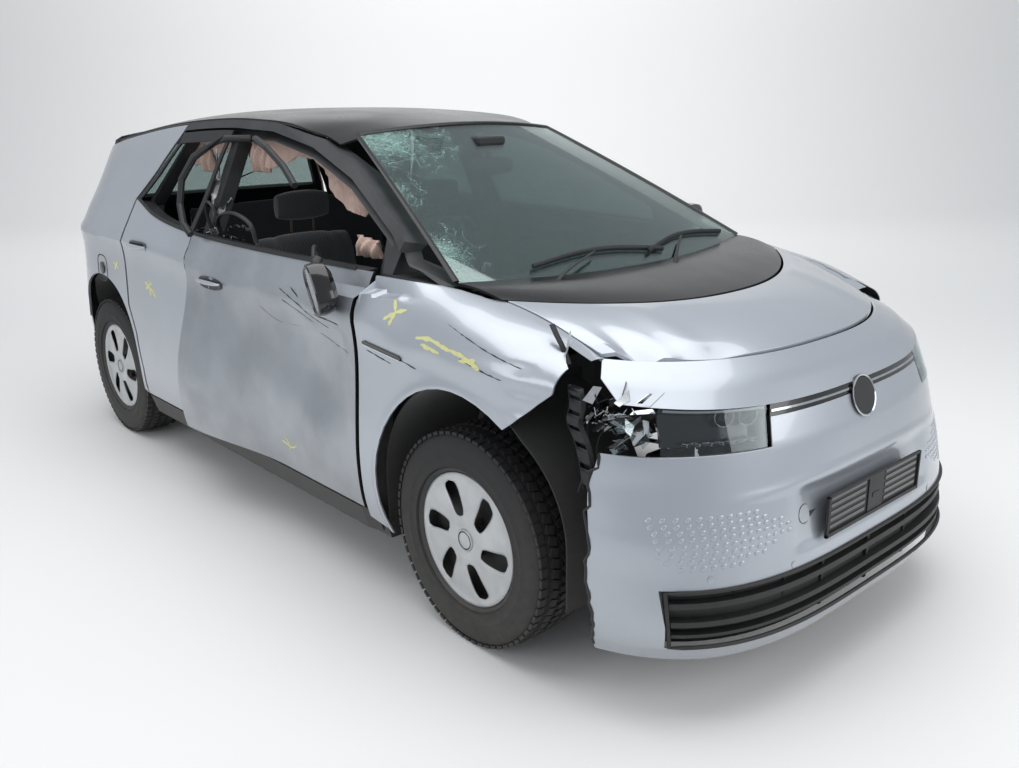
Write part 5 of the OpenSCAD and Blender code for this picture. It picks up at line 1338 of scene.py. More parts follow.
def splinters(name, centre, spread, count, size, material, seed, slot):
    rng = random.Random(seed)
    parts = []
    for n in range(count):
        c = Vector(centre) + Vector([rng.uniform(-s, s) for s in spread])
        w = Vector([rng.uniform(-1, 1) for _ in range(3)]).normalized()
        u = w.orthogonal().normalized()
        v = w.cross(u)
        long, wide = size * rng.uniform(0.5, 1.3), size * rng.uniform(0.25, 0.6)
        corners = [u * -long + v * (-wide * rng.uniform(0.3, 1)), u * long * rng.uniform(0.5, 1) + v * -wide, u * long * rng.uniform(0.3, 1) + v * wide, u * -long * 0.7 + v * wide * 0.6]
        verts = [c + p + w * d for d in (0, 2.2) for p in corners]
        parts.append((verts, [(3, 2, 1, 0), (4, 5, 6, 7), (0, 1, 5, 4), (1, 2, 6, 5), (2, 3, 7, 6), (3, 0, 4, 7)]))
    verts, faces = merged(parts)
    obj = place(name, verts, faces, material, slot=slot, smooth=20)
    weld(obj.data, 1e-7, True)
    return obj


def makeBrokenCorner():
    # what the blow left of the right corner: bracket with square holes, lamp bits, folded flap
    splinters("lampBits", (1810, -735, 850), (110, 45, 55), 26, 26, chromeFilm, 4, "clear_glass")
    splinters("lampLensBits", (1830, -748, 810), (90, 40, 50), 14, 30, lampLens, 9, "clear_glass")
    splinters("lampDarkBits", (1780, -720, 850), (120, 50, 60), 18, 34, glossPlastic, 12, "black_plastic")
    route = [(1690, -785, 905), (1706, -792, 860), (1700, -796, 812), (1725, -794, 764), (1742, -790, 700), (1758, -792, 630)]
    path = smoothPath(route, 24)
    verts, faces = [], []
    for p in path:
        for dx, dy in ((-26, 10), (-24, -6), (24, -10), (26, 6)):
            verts.append((p[0] + dx, p[1] + dy, p[2]))
    for i in range(len(path) - 1):
        for k in range(4):
            m = (k + 1) % 4
            if k == 1 and i % 4 == 2:
                continue
            faces.append((4 * i + k, 4 * i + m, 4 * i + 4 + m, 4 * i + 4 + k))
    bracket = place("cornerBracket", verts, faces, blackPlastic, slot="black_plastic", smooth=30)
    weld(bracket.data, 1e-7, True)
    bracket.modifiers.new("wall", "SOLIDIFY").thickness = 0.003
    flap = [[(1600 + 34 * a + 8 * b, -722 - 46 * a + 10 * math.sin(3 * b), 1000 + 34 * b - 26 * a + 10 * a * b) for b in np.linspace(0, 1, 7)] for a in np.linspace(0, 1, 9)]
    flap = np.array(flap)
    soften(shell("bonnetCornerFlap", flap, flap - np.array([0, 0, 2.5]), wheelSilver, slot="silver_paint"), 0.0006)
    strap = smoothPath([(1560, -742, 1045), (1585, -748, 1020), (1612, -752, 992), (1640, -756, 950)], 14)
    tube("sealStrip", strap, 9, blackPlastic, sides=8, flat=0.4, slot="black_plastic")
    for n, route in enumerate((
        [(1740, -700, 840), (1700, -740, 800), (1712, -760, 740), (1700, -755, 660), (1690, -770, 600)],
        [(1770, -690, 820), (1742, -742, 770), (1752, -770, 700), (1735, -760, 640)],
    )):
        tube("tornLead" + str(n), smoothPath(route, 26), 4 - n, blackPlastic, sides=8, slot="black_plastic")
    edge = [Vector(noseSkin(k, -bumperStyle["tornEnds"][min(10, int(round(k)))])) for k in np.linspace(4, 9.6, 40)]
    edge = [p + Vector((2 * math.sin(i * 1.7), 2 * math.cos(i * 2.3), 0)) for i, p in enumerate(edge)]
    tube("bumperTornEdge", edge, 4.2, blackPlastic, sides=6, slot="black_plastic")


makeBrokenCorner()
print("nose and lamps made")


# ---- wheels ----
wheelStyle = {
    "tyre": 347, "width": 215, "rim": 229, "cover": 214, "slots": 6, "slotIn": 76, "slotOut": 190, "slotHalf": 27,
    "swirl": 9, "hub": 33, "nuts": 5, "blocks": 66,
}


def blockTree():  # a ring of tread blocks: one block turned about the wheel's axis
    tree, start = nodeTree("treadBlocks", [
        ("Count", "NodeSocketInt", 66), ("Radius", "NodeSocketFloat", 0.345), ("Offset", "NodeSocketFloat", 0.0),
        ("Phase", "NodeSocketFloat", 0.0), ("Slant", "NodeSocketFloat", 0.0), ("Size", "NodeSocketVector", (0.02, 0.03, 0.008)),
        ("Material", "NodeSocketMaterial", None),
    ])
    step = addNode(tree, "GeometryNodePoints", {"Count": start.outputs["Count"]})
    index = addNode(tree, "GeometryNodeInputIndex")
    share = addNode(tree, "ShaderNodeMath", {0: index.outputs[0], 1: start.outputs["Phase"]}, operation="ADD")
    whole = addNode(tree, "ShaderNodeMath", {0: share.outputs[0], 1: 2 * math.pi}, operation="MULTIPLY")
    angle = addNode(tree, "ShaderNodeMath", {0: whole.outputs[0], 1: start.outputs["Count"]}, operation="DIVIDE")
    c = addNode(tree, "ShaderNodeMath", {0: angle.outputs[0]}, operation="COSINE")
    s = addNode(tree, "ShaderNodeMath", {0: angle.outputs[0]}, operation="SINE")
    x = addNode(tree, "ShaderNodeMath", {0: s.outputs[0], 1: start.outputs["Radius"]}, operation="MULTIPLY")
    z = addNode(tree, "ShaderNodeMath", {0: c.outputs[0], 1: start.outputs["Radius"]}, operation="MULTIPLY")
    spot = addNode(tree, "ShaderNodeCombineXYZ", {"X": x.outputs[0], "Y": start.outputs["Offset"], "Z": z.outputs[0]})
    ring = addNode(tree, "GeometryNodeSetPosition", {"Geometry": step.outputs[0], "Position": spot.outputs[0]})
    cube = addNode(tree, "GeometryNodeMeshCube", {"Size": start.outputs["Size"]})
    skew = addNode(tree, "GeometryNodeTransform", {"Geometry": cube.outputs[0]})
    lean = addNode(tree, "ShaderNodeCombineXYZ", {"Z": start.outputs["Slant"]})
    tree.links.new(lean.outputs[0], skew.inputs["Rotation"])
    turn = addNode(tree, "ShaderNodeCombineXYZ", {"Y": angle.outputs[0]})
    placed = addNode(tree, "GeometryNodeInstanceOnPoints", {"Points": ring.outputs[0], "Instance": skew.outputs[0], "Rotation": turn.outputs[0]})
    real = addNode(tree, "GeometryNodeRealizeInstances", {"Geometry": placed.outputs[0]})
    painted = addNode(tree, "GeometryNodeSetMaterial", {"Geometry": real.outputs[0], "Material": start.outputs["Material"]})
    addNode(tree, "NodeGroupOutput", {"Geometry": painted.outputs[0]})
    return tree


treadTree = blockTree()


def slotShare(r):  # how wide a slot is at a radius, from 0 to 1
    mid, half = (wheelStyle["slotIn"] + wheelStyle["slotOut"]) / 2, (wheelStyle["slotOut"] - wheelStyle["slotIn"]) / 2
    q = abs(r - mid) / half
    wide = mix(0.78, 1.22, (r - wheelStyle["slotIn"]) / (2 * half))
    return (max(0.0, 1 - q ** 5)) ** 0.4 * wide if q < 1 else 0.0


def wheelCover(turn):  # polar net in six parts whose lines follow the slots' edges
    radii = [wheelStyle["hub"], 40, 50, 62, 72] + list(np.linspace(wheelStyle["slotIn"], wheelStyle["slotOut"], 22)) + [194, 199, 205, 210, wheelStyle["cover"]]
    verts, faces = [], []
    columns = 6 + 5 + 6
    net = []
    for n in range(wheelStyle["slots"]):
        part = 2 * math.pi / wheelStyle["slots"]
        for c in range(columns):
            line = []
            for r in radii:
                half = wheelStyle["slotHalf"] * slotShare(r) / r if wheelStyle["slotIn"] <= r <= wheelStyle["slotOut"] else 0.004
                half = max(half, 0.004)
                low, high = part / 2 - half, part / 2 + half
                if c < 6:
                    a = mix(0, low, c / 6)
                elif c < 11:
                    a = mix(low, high, (c - 6) / 5)
                else:
                    a = mix(high, part, (c - 11) / 6)
                swirl = math.radians(wheelStyle["swirl"]) * (r - 130) / 100
                angle = turn + n * part + a + swirl
                crown = 97 - 9 * (r / 214) ** 2.2 + 3.0 * math.exp(-((r - 204) / 7) ** 2) - 5 * float(ease((60 - r) / 25))
                edge = min(abs(a - low), abs(a - high)) * r
                press = 2.6 * math.exp(-(edge / 6) ** 2) * (1 if wheelStyle["slotIn"] - 6 < r < wheelStyle["slotOut"] + 6 else 0)
                facet = 2.2 * abs(a - part / 2) / (part / 2) * float(ease((r - 60) / 60) * ease((205 - r) / 20))
                line.append((r * math.cos(angle), crown - press - facet, r * math.sin(angle)))
            net.append(line)
    rows, cols = len(net), len(radii)
    for line in net:
        verts += line
    for i in range(rows):
        c = i % columns
        for j in range(cols - 1):
            inside = 6 <= c < 11 and slotShare((radii[j] + radii[j + 1]) / 2) > 0.0 and wheelStyle["slotIn"] <= radii[j] and radii[j + 1] <= wheelStyle["slotOut"]
            if inside:
                continue
            m = (i + 1) % rows
            faces.append((i * cols + j, i * cols + j + 1, m * cols + j + 1, m * cols + j))
    return verts, faces


def makeWheel(label, node, tyreNode, x, side, body, driven):
    centre = np.array([x, side * 765.0, 347.0])

    def put(verts):
        return [(v[0] + centre[0], side * v[1] + centre[1], v[2] + centre[2]) for v in verts]

    turn = math.radians(20)
    verts, faces = wheelCover(turn)
    cover = place("wheelCover" + label, put(verts), faces, wheelSilver, body, slot="wheel_cover", smooth=30)
    weld(cover.data, 2e-5, True)
    middle = sum((v.normal.y * side for v in cover.data.vertices), 0.0)
    if middle < 0:
        cover.data.flip_normals()
    wall = cover.modifiers.new("wall", "SOLIDIFY")
    wall.thickness = 0.004
    wall.offset = -1
    cap = [(0.01, 96.5), (24, 96), (28, 94.5), (30, 95.5), (33, 94), (34, 88)]
    v, f = revolve(cap, 48)
    hubCap = place("hubCap" + label, put(v), f, wheelSilver, body, slot="wheel_cover", smooth=30)
    weld(hubCap.data, 2e-5, True)
    ring, ringFaces = revolve([(26, 96.2), (28, 97), (30, 96.2), (28, 95.6)], 48, closed=True)
    weld(place("hubRing" + label, put(ring), ringFaces, blackPlastic, body, slot="wheel_cover", smooth=40).data, 2e-5, True)
    barrel = [(229, -97), (229, -70), (214, -62), (206, -20), (206, 40), (214, 70), (222, 84), (229, 97), (224, 98), (215, 86), (200, 68), (198, 44), (60, 38), (30, 40), (30, 30), (60, 28), (194, 32), (199, -20), (208, -66), (222, -90)]
    v, f = revolve(barrel, 72, closed=True)
    # rim in dark primed steel: partly the steel's own dark, partly painted shade of the deep recess seen through the
    # cover's slots
    weld(place("rim" + label, put(v), f, primerSteel, body, slot="wheel_cover", smooth=35).data, 2e-5, True)
    disc = [(40, 16), (150, 16), (151, 14), (151, -2), (150, -4), (95, -4), (93, -50), (62, -56), (60, 16)]
    v, f = revolve(disc, 64, closed=True)
    weld(place("brakeDisc" + label, put(v), f, castIron, body, slot="iron", smooth=35).data, 2e-5, True)
    nuts = []
    for n in range(wheelStyle["nuts"]):
        a = 2 * math.pi * n / wheelStyle["nuts"]
        v, f = revolve([(0.01, 58), (9, 57), (11, 52), (11, 38)], 6)
        nuts.append(([(p[0] + 56 * math.cos(a), p[1], p[2] + 56 * math.sin(a)) for p in v], f))
    v, f = merged(nuts)
    weld(place("wheelNuts" + label, put(v), f, castIron, body, slot="iron", smooth=30).data, 2e-5, True)
    # tyre: carcass with rim guard, shoulder and grooves, then rings of blocks
    R, h = wheelStyle["tyre"], wheelStyle["width"] / 2
    wallLine = [(229.5, h - 10), (234, h - 3), (240, h - 5), (262, h - 1.5), (266, h + 0.0), (270, h - 1.5), (298, h - 2), (316, h - 5), (328, h - 12), (336, h - 22), (339.5, h - 30)]
    grooves = []
    for mid in (h - 42, 20, -20, -(h - 42)):
        grooves += [(340, mid + 6), (334, mid + 4), (334, mid - 4), (340, mid - 6)]
    profile = wallLine + grooves + [(r, -o) for r, o in wallLine[::-1]]
    v, f = revolve(profile, 96, closed=True)
    tyre = place("tyreCarcass" + label, put(v), f, tyreRubber, body, slot="tyre", smooth=40)
    weld(tyre.data, 2e-5, True)
    lug = []
    rows = [
        (60, 0, (0.0235, 0.026, 0.010), 0.0, 0.0), (40, 0.5, (0.026, 0.029, 0.010), 0.35, 0.5), (0, 0, (0.021, 0.026, 0.010), -0.35, 0.25),
        (-40, 0.5, (0.026, 0.029, 0.010), 0.35, 0.5), (-60, 0, (0.0235, 0.026, 0.010), 0.0, 0.0),
    ]
    offsets = (84, 43, 0, -43, -84)
    for n, (offset, (_, _, size, slant, phase)) in enumerate(zip(offsets, rows)):
        radius = 0.347 - size[2] / 2 - (0.0045 if abs(offset) > 80 else 0.0)
        source = pointCloud("treadSeed", [(0, 0, 0)], [(0, 0, 1)])
        row = grown("treadRow" + label + str(n), source, treadTree, {
            "Count": wheelStyle["blocks"], "Radius": radius, "Offset": side * offset * mm, "Phase": phase, "Slant": slant * side,
            "Size": size, "Material": tyreRubber,
        }, body)
        row.data.transform(Matrix.Translation(Vector(centre) * mm))
        lug.append(row)
    grips = []
    for n in range(wheelStyle["blocks"]):
        a = 2 * math.pi * (n + 0.5) / wheelStyle["blocks"]
        for s in (1, -1):
            y = s * (h - 10)
            lowV, f = blockData((-9, y - 5, 318), (9, y + 5 - (5 if s > 0 else 0), 338))
            lowV = [(p[0] * math.cos(a) + p[2] * math.sin(a), p[1] + (-s * (p[2] - 318) * 0.42), -p[0] * math.sin(a) + p[2] * math.cos(a)) for p in lowV]
            grips.append((lowV, f))
    v, f = merged(grips)
    weld(place("shoulderGrips" + label, put(v), f, tyreRubber, body, slot="tyre", smooth=20).data, 2e-5, True)
    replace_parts(cover, node)
    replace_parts(tyre, tyreNode)
    if driven:
        v, f = revolve([(0.01, -507), (20, -507), (20, -120), (26, -118), (26, -60), (0.01, -60)], 24)
        shaft = place("driveShaft" + label, put(v), f, castIron, body, slot="iron", smooth=35)
        weld(shaft.data, 2e-5, True)


for label, x, side, body, driven in (
    ("FrontLeft", 1300, 1, "road_wheel_front_left", False), ("FrontRight", 1300, -1, "road_wheel_front_right", False),
    ("RearLeft", -1470, 1, "road_wheel_rear_left", True), ("RearRight", -1470, -1, "road_wheel_rear_right", True),
):
    tail = ("front" if x > 0 else "rear") + "_" + ("left" if side > 0 else "right")
    makeWheel(label, "wheel_" + tail, "tyre_" + tail, x, side, body, driven)
print("wheels made")


# ---- cabin ----
seatStyle = {"half": 245, "place": 370, "channels": 3}


def cushionBody(name, outline, half, crown, centreY, seams=()):
    # closed crowned form from a side outline: thick in the middle, pulled in at its side seams
    path = np.array(outline, float)
    ring = []
    for a, b in zip(path, np.roll(path, -1, 0)):
        n = max(2, int(np.linalg.norm(b - a) / 22))
        ring += [a + (b - a) * t for t in np.linspace(0, 1, n, endpoint=False)]
    ring = np.array(ring)
    for _ in range(3):
        ring = (np.roll(ring, 1, 0) + 2 * ring + np.roll(ring, -1, 0)) / 4
    middle = ring.mean(0)
    n = len(ring)
    verts, faces = [], []
    ys = np.sin(np.linspace(-math.pi / 2, math.pi / 2, 25))
    spine = np.diff(np.concatenate([ring[-1:], ring, ring[:1]]), axis=0)
    normals = np.stack([-(spine[:-1] + spine[1:])[:, 1], (spine[:-1] + spine[1:])[:, 0]], 1)
    normals /= np.linalg.norm(normals, axis=1)[:, None]
    if ((ring - middle) * normals).sum() < 0:
        normals = -normals
    for s in ys:
        pull = crown * ((1 - abs(s) ** 2.5) - 1)
        seam = sum(-7 * math.exp(-(((s - c) * half / 7) ** 2)) for c in seams)
        for p, q in zip(ring, normals):
            verts.append((p[0] + q[0] * (pull + seam), centreY + s * half, p[1] + q[1] * (pull + seam)))
    for i in range(len(ys) - 1):
        for k in range(n):
            m = (k + 1) % n
            faces.append((i * n + k, i * n + m, (i + 1) * n + m, (i + 1) * n + k))
    for end in (0, len(ys) - 1):
        verts.append((middle[0], centreY + ys[end] * half, middle[1]))
        c = len(verts) - 1
        faces += [(end * n + k, end * n + (k + 1) % n, c) for k in range(n)]
    obj = place(name, verts, faces, seatCloth, slot="seat_cloth", smooth=60)
    weld(obj.data, 1e-6, True)
    sub = obj.modifiers.new("round", "SUBSURF")
    sub.levels = sub.render_levels = 1
    return obj


def puff(obj, pressure, cap):  # lets the cushion swell a little, so that its cloth lies full and uneven
    for m in list(obj.modifiers):
        obj.modifiers.remove(m)
    before = np.array([v.co[:] for v in obj.data.vertices])
    cloth = obj.modifiers.new("cloth", "CLOTH")
    cloth.settings.use_pressure = True
    cloth.settings.uniform_pressure_force = pressure
    cloth.settings.tension_stiffness = 30
    cloth.settings.bending_stiffness = 3
    cloth.settings.effector_weights.gravity = 0
    scene = bpy.context.scene
    for f in range(1, 13):
        scene.frame_set(f)
    mesh = bpy.data.meshes.new_from_object(obj.evaluated_get(bpy.context.evaluated_depsgraph_get()))
    after = np.array([v.co[:] for v in mesh.vertices])
    obj.modifiers.remove(cloth)
    scene.frame_set(1)
    move = after - before
    far = np.linalg.norm(move, axis=1)
    move *= np.minimum(1, cap / np.maximum(far, 1e-9))[:, None]
    obj.data.vertices.foreach_set("co", (before + move).ravel())
    obj.data.update()
    sub = obj.modifiers.new("round", "SUBSURF")
    sub.levels = sub.render_levels = 1
    return obj


def makeSeats():
    seatLines = {
        "Base": [(165, 350), (215, 455), (195, 515), (-170, 478), (-205, 330)],
        "Back": [(-195, 520), (-225, 500), (-262, 470), (-322, 520), (-440, 1070), (-408, 1100), (-338, 1060)],
        "Head": [(-352, 1128), (-345, 1262), (-392, 1272), (-424, 1240), (-420, 1135)],
    }
    made = []
    for label, s in (("Left", 1), ("Right", -1)):
        y = s * seatStyle["place"]
        base = cushionBody("seatBase" + label, seatLines["Base"], 238, 26, y, (-0.62, 0.62))
        back = cushionBody("seatBack" + label, seatLines["Back"], 232, 22, y, (-0.60, 0.60))
        head = cushionBody("headrest" + label, seatLines["Head"], 125, 16, y)
        for obj in (base, back, head):
            made.append(puff(obj, 3.5, 0.008))
        posts = [
            (Vector((-392, y + d, 1085)), Vector((-388, y + d, 1150))) for d in (-55, 55)
        ]
        for n, (a, b) in enumerate(posts):
            tube("headrestPost" + label + str(n), [a, (a + b) / 2, b], 6, castIron, sides=12, slot="iron")
        frameV, frameF = merged([blockData((-250, y - 225, 306), (140, y - 195, 352)), blockData((-250, y + 195, 306), (140, y + 225, 352))])
        soften(place("seatRails" + label, frameV, frameF, blackPlastic, slot="black_plastic"), 0.003)
    benchLines = {
        "benchBase": [(-680, 420), (-610, 480), (-625, 548), (-960, 522), (-1000, 440)],
        "benchBack": [(-1000, 560), (-1035, 590), (-1130, 1050), (-1140, 1165), (-1178, 1165), (-1192, 1050), (-1060, 600)],
    }
    for name, line in benchLines.items():
        bench = cushionBody(name, line, 550, 24, 0, (-0.68, -0.08, 0.08, 0.68))
        made.append(puff(bench, 3.5, 0.008))
    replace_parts(made[0], "seats")


makeSeats()
print("seats made")


def makeAirbag():
    # spent side curtain: a flat double cloth that hangs in soft folds from the roof rail
    outer, inner = [], []
    for x in np.linspace(700, -960, 141):
        rail = float(curve("rail", x))
        drop = 55 + 70 * math.sin(math.radians(x * 0.28)) ** 2 * (1 if x < 450 else 0.2)
        line, back = [], []
        for k in np.linspace(0, 1, 17):
            z = mix(rail - 62, rail - 64 - drop, k)
            wave = 13 * math.sin(x / 27 + 1.1 * math.sin(x / 61)) * k + 6 * math.sin(x / 11 + 3 * k)* k
            fat = 2.5 + 11 * math.sin(math.pi * min(1, k * 1.05)) ** 0.7 * (0.6 + 0.4 * math.sin(x / 33) ** 2)
            mid = float(sideY(x, z)) - 99 - 44 * k + wave * 0.6
            line.append((x, mid + fat, z + 5 * math.sin(x / 19) * k))
            back.append((x, mid - fat, z + 5 * math.sin(x / 19) * k))
        outer.append(line)
        inner.append(back)
    bag = shell("curtainAirbagRight", np.array(outer), np.array(inner), airbagCloth, None, -1, slot="airbag_cloth", smooth=80)
    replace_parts(bag, "curtain_airbag_right")
    # loose cloth of the same curtain by the front quarter window and behind the front seat
    for n, (x0, x1, zTop, zLow, y) in enumerate(((560, 690, 1190, 1120, -700), (-420, -300, 1470, 1350, -560), (-900, -800, 1440, 1330, -560))):
        outer, inner = [], []
        for a in np.linspace(0, 1, 33):
            x = mix(x0, x1, a)
            line, back = [], []
            for k in np.linspace(0, 1, 15):
                z = mix(zTop - 0.1 * abs(x - x0), zLow, k)
                puffed = 24 * math.sin(math.pi * a) * math.sin(math.pi * k) + 5
                fold = 9 * math.sin(a * 17 + 4 * k)
                line.append((x, y + fold - puffed, z))
                back.append((x, y + fold + puffed, z))
            outer.append(line)
            inner.append(back)
        part = shell("airbagFold" + str(n), np.array(outer), np.array(inner), airbagCloth, None, 1, slot="airbag_cloth", smooth=80)


makeAirbag()
print("airbag made")


def makeSteering():
    tilt = math.radians(-90 + 24)
    axis = Vector((math.sin(tilt), 0, math.cos(tilt)))
    up = Vector((0, 1, 0)).cross(axis).normalized()
    base = Vector((640, 370, 860))
    hub = base + axis * 235
    side = Vector((0, 1, 0))
    ring = [hub + (side * math.cos(a) + up * math.sin(a) * 0.97) * 166 for a in np.linspace(0, 2 * math.pi, 72, endpoint=False)]
    rim = tube("steeringRim", ring, 14, softTouch, "hand_wheel", sides=14, closed=True, slot="black_plastic")
    pad = [(0.01, 30), (30, 29), (52, 22), (60, 8), (58, -14), (30, -24), (15, -26), (15, -280)]
    verts, faces = [], []
    for r, d in pad:
        for s in range(40):
            a = 2 * math.pi * s / 40
            verts.append(hub + axis * d + side * (r * math.cos(a)) + up * (r * math.sin(a)))
    for i in range(len(pad) - 1):
        for s in range(40):
            q = (s + 1) % 40
            faces.append((i * 40 + s, i * 40 + q, (i + 1) * 40 + q, (i + 1) * 40 + s))
    faces.append(tuple((len(pad) - 1) * 40 + s for s in range(40)))
    boss = place("steeringBoss", verts, faces, softTouch, "hand_wheel", slot="black_plastic", smooth=40)
    weld(boss.data, 1e-6, True)
    for n, a in enumerate((0, math.pi, -math.pi / 2)):
        out = side * math.cos(a) + up * math.sin(a)
        path = [hub + out * r - axis * (4 + 3 * math.sin(r / 30)) for r in np.linspace(40, 160, 9)]
        tube("steeringSpoke" + str(n), path, 15, glossPlastic, "hand_wheel", sides=12, flat=0.45, slot="black_plastic")
    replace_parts(rim, "steering_wheel")
    soften(place("driverDisplay", *blockData((705, 270, 1000), (722, 470, 1085)), glossPlastic, slot="black_plastic"), 0.005)
    soften(place("middleDisplay", *blockData((740, -130, 1015), (756, 130, 1150)), glossPlastic, slot="black_plastic"), 0.005)
    vents = []
    for y in (-560, -250, 170, 560):
        for n in range(5):
            vents.append(blockData((618 + n * 3, y - 50, 905 + n * 13), (626 + n * 3, y + 50, 909 + n * 13)))
    place("dashVents", *merged(vents), glossPlastic, slot="black_plastic")


makeSteering()


def makeMirrorAndWipers():
    # inner mirror with its foot, two wiper arms and their blades at rest on the glass
    def onGlass(s, t, lift):
        a, b = glassBase(np.array(s * 720.0)), glassHead(np.array(s * 486.0))
        p = mix(a, b, t)
        return Vector((float(p[0]), float(p[1]), float(p[2]) + 32 * t * (1 - t))) + Vector((0.43, 0, 0.90)) * lift
    foot = [onGlass(0.0, 0.86, -8), onGlass(0.0, 0.84, -40), onGlass(0.0, 0.80, -75)]
    tube("innerMirrorStem", foot, [26, 14, 10], blackPlastic, sides=14, slot="black_plastic")
    c = onGlass(0.0, 0.80, -88)
    verts, faces = [], []
    for d, g in ((-14, 0.75), (-6, 1.0), (10, 1.0), (16, 0.8)):
        for k in range(36):
            a = 2 * math.pi * k / 36
            verts.append(c + Vector((-d, 122 * g * math.copysign(abs(math.cos(a)) ** 0.6, math.cos(a)), 34 * g * math.copysign(abs(math.sin(a)) ** 0.7, math.sin(a)))))
    for i in range(3):
        for k in range(36):
            m = (k + 1) % 36
            faces.append((36 * i + k, 36 * i + m, 36 * i + 36 + m, 36 * i + 36 + k))
    faces += [tuple(range(36))[::-1], tuple(108 + k for k in range(36))]
    weld(place("innerMirror", verts, faces, glossPlastic, slot="black_plastic", smooth=40).data, 1e-6, True)
    soften(place("sensorCover", *blockData((388, -70, 1440), (470, 70, 1492)), blackPlastic, slot="black_plastic"), 0.01)
    for n, (s0, s1, pivotY) in enumerate(((-0.62, 0.22, -560), (0.10, 0.86, 120))):
        blade = [onGlass(mix(s0, s1, t), 0.045 + 0.05 * math.sin(math.pi * t), 9) for t in np.linspace(0, 1, 26)]
        tube("wiperBlade" + str(n), blade, 6, blackPlastic, sides=8, flat=1.5, slot="black_plastic")
        arm = smoothPath([onGlass(s0 - 0.04, -0.10, 12), onGlass(s0 + 0.10, -0.02, 24), onGlass(mix(s0, s1, 0.45), 0.075, 20)], 16)
        tube("wiperArm" + str(n), arm, [9 - 0.35 * k for k in range(16)], blackPlastic, sides=8, flat=0.6, slot="black_plastic")
    seal = [onGlass(-1.0, t, 3) for t in np.linspace(0.0, 0.985, 30)] + [onGlass(s, 0.985, 3) for s in np.linspace(-1, 1, 30)[1:-1]] + [onGlass(1.0, t, 3) for t in np.linspace(0.985, 0.0, 30)]
    tube("screenBorder", seal, 11, blackGloss, sides=8, flat=0.35, slot="black_paint")


makeMirrorAndWipers()


def makeMirrors():
    # left mirror: a rounded head on its foot; right one: the same head broken off and hanging
    def head(name, centre, turn, body):
        verts, faces = [], []
        for i, (d, g) in enumerate(((-42, 0.05), (-38, 0.6), (-20, 0.93), (8, 1.0), (34, 0.97), (38, 0.9), (33, 0.82), (33, 0.02))):
            for k in range(40):
                a = 2 * math.pi * k / 40
                c = math.copysign(abs(math.cos(a)) ** 0.72, math.cos(a))
                s = math.copysign(abs(math.sin(a)) ** 0.72, math.sin(a))
                verts.append(Vector(centre) + turn @ Vector((-d, 88 * g * c, 58 * g * s)))
        for i in range(7):
            for k in range(40):
                m = (k + 1) % 40
                faces.append((40 * i + k, 40 * i + m, 40 * i + 40 + m, 40 * i + 40 + k))
        picks = [1 if f // 40 == 6 else 0 for f in range(len(faces))]
        obj = place(name, verts, faces, [glossPlastic, chromeFilm], body, picks=picks, slot="black_plastic", smooth=35)
        weld(obj.data, 1e-6, True)
        return obj
    left = head("mirrorHeadLeft", (706, 945, 1118), Matrix.Rotation(math.radians(6), 3, "Z"), "front_left_door")
    tube("mirrorFootLeft", smoothPath([(718, 868, 1101), (716, 900, 1100), (712, 930, 1104)], 10), 17, glossPlastic, "front_left_door", sides=14, flat=0.7, slot="black_plastic")
    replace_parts(left, "mirror_left")
    skin = float(sideY(700, 1010))
    turn = Matrix.Rotation(math.radians(64), 3, "Y") @ Matrix.Rotation(math.radians(18), 3, "X") @ Matrix.Rotation(math.radians(90), 3, "Z")
    right = head("mirrorHeadRight", (688, -skin - 48, 1052), turn, "car")
    arm = smoothPath([(662, -skin - 42, 1100), (640, -skin - 34, 1128), (628, -skin - 18, 1140)], 10)
    tube("mirrorArmRight", arm, 17, blackPlastic, sides=12, flat=0.6, slot="black_plastic")
    cable = smoothPath([(640, -skin - 40, 1105), (610, -skin - 25, 1150), (570, -skin + 5, 1170), (556, -skin + 30, 1128)], 24)
    tube("mirrorCableRight", cable, 7, blackPlastic, sides=8, slot="black_plastic")
    splinters("mirrorBits", (655, -skin - 46, 1085), (30, 14, 30), 9, 20, blackPlastic, 21, "black_plastic")
    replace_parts(right, "mirror_right")


makeMirrors()
print("mirrors and cabin details made")


# ---- marks, scars and small parts ----
def wingSkin(x, z):  # a place on the right wing with the way it faces
    return Vector(onSide(x, z, -1)), sideNormal(x, z, -1)


